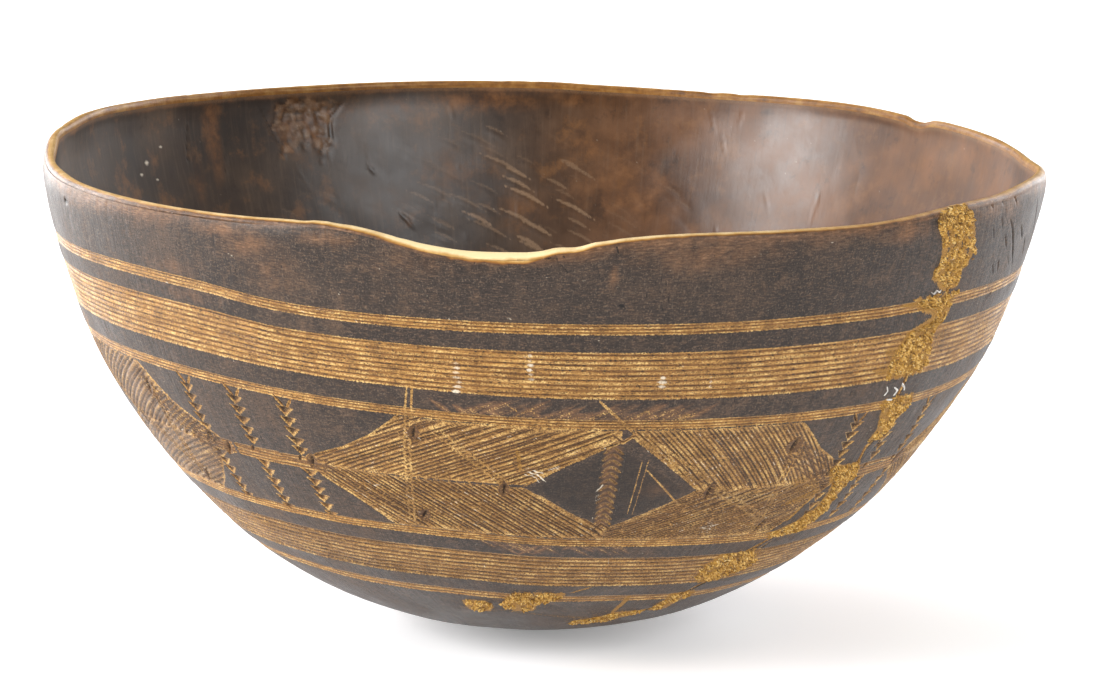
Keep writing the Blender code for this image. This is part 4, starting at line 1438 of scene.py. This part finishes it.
class Paint:
    """A material being put together from nodes. Each method adds nodes and returns their output."""

    def __init__(self, name):
        self.material = bpy.data.materials.new(name)
        self.material.use_nodes = True
        self.tree = self.material.node_tree
        self.shader = self.tree.nodes["Principled BSDF"]

    def link(self, value, socket):
        if isinstance(value, bpy.types.NodeSocket):
            self.tree.links.new(value, socket)
        else:
            socket.default_value = value

    def fill(self, kind, **values):
        """A new node with values given to its sockets, named with _ for a space."""
        node = self.tree.nodes.new(kind)
        for key, value in values.items():
            self.link(value, node.inputs[key.replace("_", " ")])
        return node

    def mark(self, name, output="Fac"):
        node = self.tree.nodes.new("ShaderNodeAttribute")
        node.attribute_name = name
        return node.outputs[output]

    def work_out(self, operation, first, second):
        node = self.tree.nodes.new("ShaderNodeMath")
        node.operation = operation
        self.link(first, node.inputs[0])
        self.link(second, node.inputs[1])
        return node.outputs[0]

    def times(self, first, second):
        return self.work_out("MULTIPLY", first, second)

    def plus(self, first, second):
        return self.work_out("ADD", first, second)

    def frayed(self, value, noise, size, middle=0.5):
        """A value moved up and down by a noise, which frays the edge of what it marks."""
        return self.plus(value, self.times(self.work_out("SUBTRACT", noise, middle), size))

    def spread(self, value, low, high, to_low=0.0, to_high=1.0):
        """Stretches low..high of a value to 0..1, softly."""
        node = self.fill("ShaderNodeMapRange", Value=value, From_Min=low, From_Max=high, To_Min=to_low,
                         To_Max=to_high)
        node.interpolation_type = "SMOOTHSTEP"
        return node.outputs["Result"]

    def place(self):
        """The place on the object in millimetres."""
        source = self.tree.nodes.new("ShaderNodeTexCoord")
        node = self.fill("ShaderNodeMapping", Vector=source.outputs["Object"], Scale=[1000, 1000, 1000])
        return node.outputs["Vector"]

    def noise(self, where, scale=1.0, detail=3.0, roughness=0.55):
        node = self.fill("ShaderNodeTexNoise", Vector=where, Scale=scale, Detail=detail, Roughness=roughness)
        return node.outputs["Fac"]

    def streaks(self, stretch, scale, detail, roughness):
        """A noise drawn out round the bowl, or down it, along the bands."""
        node = self.fill("ShaderNodeMapping", Vector=self.mark("band_place", "Vector"), Scale=stretch)
        return self.noise(node.outputs["Vector"], scale, detail, roughness)

    def mix(self, share, first, second):
        node = self.tree.nodes.new("ShaderNodeMix")
        node.data_type = "RGBA"
        self.link(share, node.inputs["Factor"])
        self.link(first, node.inputs[6])
        self.link(second, node.inputs[7])
        return node.outputs[2]

    def tint(self, base, *layers):
        """Lays colours over a base. A layer is (hex code, value, low, high, most): from none of the
        colour where the value is low, to most of it where the value is high."""
        for code, value, low, high, most in layers:
            base = self.mix(self.spread(value, low, high, 0.0, most), base, colour(code))
        return base

    def ramp(self, value, *stops):
        """A colour read from (place, hex code) stops."""
        node = self.fill("ShaderNodeValToRGB", Fac=value)
        ladder = node.color_ramp.elements
        while len(ladder) < len(stops):
            ladder.new(0.5)
        for element, (position, code) in zip(ladder, stops):
            element.position = position
            element.color = colour(code)
        return node.outputs["Color"]

    def finish(self, base, roughness, height, strength=0.5, distance=0.0002, specular=0.5):
        self.link(base, self.shader.inputs["Base Color"])
        self.link(roughness, self.shader.inputs["Roughness"])
        self.shader.inputs["Specular IOR Level"].default_value = specular
        bump = self.fill("ShaderNodeBump", Strength=strength, Distance=distance, Height=height)
        self.link(bump.outputs["Normal"], self.shader.inputs["Normal"])
        return self.material


class OutsideNoises:
    """The noises and marks that the colours of the outside share."""

    def __init__(self, p):
        near = p.place()
        self.cloudy = p.noise(near, 0.045, 4, 0.6)
        self.patchy = p.noise(near, 0.16, 4, 0.65)
        self.fine = p.noise(near, 1.7, 3, 0.6)
        self.grit = p.noise(near, 4.5, 2, 0.6)
        self.upright = p.streaks((1.0, 1.0, 0.06), 1.1, 4, 0.65)
        self.hairs = p.streaks((2.4, 2.4, 0.09), 1.0, 2, 0.5)
        self.wisps = p.streaks((0.3, 0.3, 1.1), 1.4, 4, 0.7)
        self.thin = p.streaks((0.09, 0.09, 3.4), 1.0, 3, 0.6)
        self.specks = p.streaks((0.9, 0.9, 2.2), 1.3, 2, 0.6)
        self.flecks = p.streaks((0.5, 0.5, 1.6), 1.3, 2, 0.5)
        self.broad = p.streaks((0.06, 0.06, 1.6), 1.0, 4, 0.65)
        self.cut, self.dirt_and_shade, self.brown = p.mark("cut"), p.mark("dirt_and_shade"), p.mark("brown")


def smoked_skin(p, n):
    """The dark skin, clouded, streaked and scratched, and rubbed rusty in places."""
    dark = p.ramp(n.cloudy, (0.3, "241c17"), (0.5, "30261f"), (0.7, "46372c"))
    dark = p.tint(dark, ("514338", n.upright, 0.5, 0.78, 0.3))
    dark = p.mix(p.times(p.spread(n.hairs, 0.66, 0.78), 0.35), dark, colour("6d5f52"))
    dark = p.mix(p.times(p.spread(n.hairs, 0.38, 0.28), 0.4), dark, colour("17110d"))
    dark = p.tint(
        dark, ("5b4533", n.patchy, 0.5, 0.75, 0.6), ("644c39", n.wisps, 0.5, 0.68, 0.6),
        ("18110c", n.wisps, 0.5, 0.34, 0.6), ("786453", n.fine, 0.54, 0.7, 0.5),
        ("120d09", n.fine, 0.46, 0.32, 0.6),
    )
    rusty = p.ramp(n.wisps, (0.3, "4d3522"), (0.5, "704d31"), (0.72, "967150"))
    rub = p.times(n.brown, p.spread(n.patchy, 0.25, 0.7, 0.45, 1.0))
    return p.mix(p.spread(rub, 0.05, 0.85, 0.0, 0.85), dark, rusty)


def bare_wood(p, n):
    """The pale wood in the cuts: brown where it is stained, painted golden on its crests as a highlight,
    dirty and painted darker in its grooves as shade.
    """
    along = p.plus(p.times(n.broad, 0.6), p.times(n.thin, 0.4))
    bare = p.ramp(along, (0.34, "442a12"), (0.45, "724a20"), (0.56, "9b6c34"), (0.66, "c99a55"))
    bare = p.tint(bare, ("5d3f20", n.grit, 0.5, 0.72, 0.5))
    browned = p.ramp(along, (0.36, "372415"), (0.5, "583b20"), (0.66, "825a30"))
    bare = p.mix(p.times(n.brown, 0.85), bare, browned)
    # Painted highlight: the crests between cuts are painted paler and golden (bd924e), and in patches paler
    # still as a painted gleam (e6c27c).
    painted_crest_highlight = p.times(p.spread(n.cut, 0.4, 0.12), p.spread(n.fine, 0.35, 0.65, 0.0, 0.85))
    painted_crest_highlight = p.times(painted_crest_highlight, p.spread(n.brown, 0.4, 1.3, 1.0, 0.45))
    bare = p.mix(painted_crest_highlight, bare, colour("bd924e"))
    painted_gleam = p.times(painted_crest_highlight, p.spread(n.patchy, 0.46, 0.64))
    bare = p.mix(painted_gleam, bare, colour("e6c27c"))
    # Dirt and painted shade: the dirt mark darkens the bottoms of the grooves.
    dirt_and_shade = p.times(n.dirt_and_shade, p.spread(n.grit, 0.3, 0.6, 0.3, 1.15))
    # Painted shade: the bare wood is darker brown the deeper it lies in its cut (452c14). The pale specks
    # (cfa464) are partly grain and partly painted glints.
    bare = p.tint(
        bare, ("4a3015", n.patchy, 0.5, 0.32, 0.4), ("452c14", n.cut, 0.22, 0.7, 0.7),
        ("25180c", dirt_and_shade, 0.14, 0.7, 0.95), ("3e2710", n.specks, 0.46, 0.32, 0.8),
        ("cfa464", n.specks, 0.58, 0.72, 0.55),
    )
    # Pale flecks drawn out along the bands in the browned cuts, partly grain and partly painted glints.
    flecks_and_painted_glints = p.times(p.spread(n.flecks, 0.6, 0.72), p.times(n.brown, 0.8))
    return p.mix(flecks_and_painted_glints, bare, colour("c09456"))


def outside_wood():
    """Smoked dark skin, with pale wood laid bare in the cuts, worn edges also painted paler as a highlight,
    stains, white marks and painted glints, and dirt and painted shade in the cuts.
    """
    p = Paint("smoked_wood_outside")
    n = OutsideNoises(p)
    edge = p.frayed(n.cut, n.fine, 0.55)
    base = p.mix(p.spread(edge, -0.06, 0.1), smoked_skin(p, n), bare_wood(p, n))
    # Dirt and painted shade in the cracks and dents of the dark skin.
    dirt_and_shade_mask = p.times(n.dirt_and_shade, p.spread(n.cut, 0.0, -0.3))
    base = p.tint(base, ("17110d", dirt_and_shade_mask, 0.1, 0.7, 1.0))
    golden = p.ramp(n.grit, (0.32, "543512"), (0.48, "8a6226"), (0.62, "a87f3a"), (0.75, "c8a464"))
    base = p.mix(p.spread(p.frayed(p.mark("paste"), n.fine, 1.5, 0.55), 0.35, 0.6), base, golden)
    # The rubbed edge: worn pale wood, and a painted highlight in the cream top of its colours.
    wear_and_highlight_share = p.frayed(p.mark("worn"), n.patchy, 0.5)
    rim = p.ramp(wear_and_highlight_share, (0.2, "4d2c14"), (0.38, "8a5c26"), (0.6, "bb9152"), (0.85, "ecd2a0"))
    base = p.mix(p.spread(wear_and_highlight_share, 0.16, 0.36), base, rim)
    # The white mark: white paint, and the painted glints on the hatched ridges.
    base = p.tint(base, ("ded3bd", p.frayed(p.mark("white"), n.fine, 0.5), 0.25, 0.75, 1.0))

    rough = p.spread(edge, -0.06, 0.1, 0.40, 0.44)
    rough = p.plus(rough, p.spread(n.cloudy, 0.3, 0.7, -0.05, 0.1))
    rough = p.plus(rough, p.times(p.mark("paste"), 0.25))
    height = p.plus(p.times(n.upright, 0.9), p.times(n.grit, 0.6))
    height = p.plus(height, p.times(n.hairs, 0.5))
    height = p.plus(height, p.times(n.thin, p.spread(edge, 0.0, 0.1, 0.0, 1.6)))
    return p.finish(base, rough, height, 0.5, 0.00025, 0.3)


def inside_wood():
    """The scraped hollow: grey-brown at the left, warmer to the right, rubbed orange under the rim."""
    p = Paint("smoked_wood_inside")
    near = p.place()
    cloudy = p.noise(near, 0.03, 4, 0.6)
    patchy = p.noise(near, 0.12, 4, 0.65)
    grit = p.noise(near, 3.5, 3, 0.6)
    soft = p.noise(near, 0.075, 5, 0.7)
    upright = p.streaks((0.7, 0.7, 0.05), 1.0, 4, 0.65)
    to_right = p.fill("ShaderNodeSeparateXYZ", Vector=near).outputs["X"]
    cool = p.ramp(cloudy, (0.3, "2b2018"), (0.5, "3b2d22"), (0.7, "503f30"))
    warm = p.ramp(cloudy, (0.3, "482c17"), (0.5, "603d21"), (0.7, "7b5130"))
    base = p.mix(p.spread(to_right, -35.0, 70.0), cool, warm)
    base = p.tint(
        base, ("2a1c13", soft, 0.45, 0.3, 0.6), ("80562f", soft, 0.52, 0.72, 0.5),
        ("6a5542", upright, 0.48, 0.74, 0.25), ("1f1711", upright, 0.42, 0.26, 0.35),
    )
    orange = p.ramp(patchy, (0.3, "4a2c16"), (0.5, "66401f"), (0.7, "80552f"))
    rub = p.times(p.mark("brown"), p.spread(patchy, 0.25, 0.7, 0.3, 1.0))
    base = p.mix(p.spread(rub, 0.1, 0.8, 0.0, 0.8), base, orange)
    # Lighter ridges and rim edge: wear, and a painted highlight along the ridge tops.
    ridge = p.times(p.mark("worn"), p.spread(grit, 0.3, 0.6, 0.5, 1.1))
    # The dirt mark darkens the strokes and cracks, as dirt and as painted shade.
    base = p.tint(
        base, ("93765a", ridge, 0.1, 0.75, 0.8), ("1d140e", p.mark("dirt_and_shade"), 0.25, 0.9, 0.85),
        ("d9cdb8", p.mark("white"), 0.2, 0.9, 1.0),
    )
    rough = p.spread(patchy, 0.3, 0.7, 0.36, 0.41)
    rough = p.plus(rough, p.spread(to_right, -75.0, -125.0, 0.0, 0.25))
    rough = p.plus(rough, p.spread(to_right, 112.0, 150.0, 0.0, 0.2))
    height = p.plus(p.times(upright, 0.5), p.times(grit, 0.4))
    return p.finish(base, rough, height, 0.3, 0.0002, 0.46)


def sawdust():
    p = Paint("sawdust_filler")
    near = p.place()
    grit = p.noise(near, 3.2, 3, 0.65)
    grain = p.frayed(p.mark("grain"), p.noise(near, 0.35, 3, 0.6), 0.9)
    base = p.ramp(grain, (0.0, "845b20"), (0.35, "a87d34"), (0.7, "c29547"), (1.0, "dcb76c"))
    pit = p.frayed(p.mark("pit"), grit, 0.5)
    base = p.tint(base, ("ecd6a0", p.mark("fine"), 0.8, 0.95, 0.85), ("4a2d0c", pit, 0.66, 0.98, 0.85))
    return p.finish(base, p.spread(grit, 0.2, 0.8, 0.6, 0.9), grit, 0.6, 0.0003, 0.35)


def white_glue():
    p = Paint("dried_white_glue")
    patchy = p.noise(p.place(), 0.9, 3, 0.6)
    base = p.ramp(patchy, (0.3, "aaa59d"), (0.6, "dcd8d0"))
    return p.finish(base, p.spread(patchy, 0.3, 0.7, 0.35, 0.5), patchy, 0.3, 0.0002)


def floor_paint():
    p = Paint("pale_floor")
    near = p.place()
    base = p.ramp(p.noise(near, 0.01, 2, 0.5), (0.3, "fbfafc"), (0.7, "fefefe"))
    p.link(base, p.shader.inputs["Emission Color"])
    p.shader.inputs["Emission Strength"].default_value = FLOOR_GLOW
    return p.finish(base, 0.9, p.noise(near, 0.5, 2, 0.5), 0.02, 0.0001, 0.1)


# ---------------------------------------------------------------- floor, light and camera

FLOOR_SIZE = 14.0            # metres, wide enough to fill every view
FLOOR_DROP = 0.0002          # metres that the floor lies under the foot
FLOOR_GLOW = 0.27            # how much light the floor gives off itself, as a lit sweep does


def add_floor():
    bpy.ops.mesh.primitive_plane_add(size=FLOOR_SIZE, location=(0, 0, -FLOOR_DROP))
    floor = bpy.context.object
    floor.name = "pale_floor"
    floor.data.materials.append(floor_paint())
    return floor


# Soft square lights: (name, azimuth, elevation, distance, size, power). Azimuth is in degrees from the
# front towards +X, and distance and size are in metres.
LIGHTS = [
    ("key_light", -68, 20, 2.4, (0.9, 0.9), 74),
    ("front_right_light", 42, 23, 2.4, (1.2, 1.0), 30),
    ("back_left_light", -132, 12, 2.2, (1.5, 1.5), 66),
    ("back_right_light", 138, 12, 2.2, (1.5, 1.5), 46),
    ("top_light", 0, 85, 2.4, (2.0, 2.0), 12),
]
LIGHT_AIM = Vector((0, 0, 0.1))


def add_light(name, azimuth, elevation, distance, size, power):
    """A light that is aimed at the bowl."""
    a, e = math.radians(azimuth), math.radians(elevation)
    lamp = bpy.data.lights.new(name, "AREA")
    lamp.shape = "RECTANGLE"
    lamp.size, lamp.size_y = size
    lamp.energy = power
    thing = bpy.data.objects.new(name, lamp)
    spot = Vector((math.sin(a) * math.cos(e), -math.cos(a) * math.cos(e), math.sin(e))) * distance
    thing.location = spot + LIGHT_AIM
    thing.rotation_euler = (-spot).to_track_quat("-Z", "Y").to_euler()
    bpy.context.scene.collection.objects.link(thing)


WORLD_COLOUR = (0.96, 0.97, 1.0, 1.0)


def add_world(bright, shown):
    """A plain studio: a faint cool light from all sides, and a plain white that only the camera sees."""
    world = bpy.data.worlds.new("studio")
    world.use_nodes = True
    tree = world.node_tree
    back = tree.nodes["Background"]
    back.inputs["Color"].default_value = WORLD_COLOUR
    back.inputs["Strength"].default_value = bright
    seen = tree.nodes.new("ShaderNodeBackground")
    seen.inputs["Strength"].default_value = shown
    pick = tree.nodes.new("ShaderNodeMixShader")
    path = tree.nodes.new("ShaderNodeLightPath")
    tree.links.new(path.outputs["Is Camera Ray"], pick.inputs["Fac"])
    tree.links.new(back.outputs[0], pick.inputs[1])
    tree.links.new(seen.outputs[0], pick.inputs[2])
    tree.links.new(pick.outputs[0], tree.nodes["World Output"].inputs["Surface"])
    bpy.context.scene.world = world


CAMERA_AIM = (-0.00145, -0.00042, 0.0797)    # metres
CAMERA_DISTANCE = 1.3944     # metres
CAMERA_ELEVATION = 11.5
CAMERA_LENS = 128.6
CAMERA_SHIFT = (0.0073, 0.0508)


def add_camera():
    lens = bpy.data.cameras.new("studio_camera")
    lens.lens = CAMERA_LENS
    lens.sensor_width = 36.0
    lens.shift_x, lens.shift_y = CAMERA_SHIFT
    camera = bpy.data.objects.new("studio_camera", lens)
    e = math.radians(CAMERA_ELEVATION)
    away = Vector((0.0, -math.cos(e), math.sin(e))) * CAMERA_DISTANCE
    camera.location = Vector(CAMERA_AIM) + away
    camera.rotation_euler = (-away).to_track_quat("-Z", "Y").to_euler()
    bpy.context.scene.collection.objects.link(camera)
    bpy.context.scene.camera = camera


# ---------------------------------------------------------------- putting it together

bowl = make_bowl([outside_wood(), inside_wood()])
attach(bowl, "root")
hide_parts("carved_bowl")

filler_paint = sawdust()
for node_name, filler_stations in FILLERS.items():
    filler = make_filler(node_name, filler_stations, filler_paint)
    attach(filler, "root")
    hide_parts(node_name)

smears = make_smears(white_glue())
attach(smears, "root")

add_floor()
add_world(0.2, 1.0)
for light in LIGHTS:
    add_light(*light)
add_camera()
bpy.context.scene.view_settings.view_transform = "Standard"
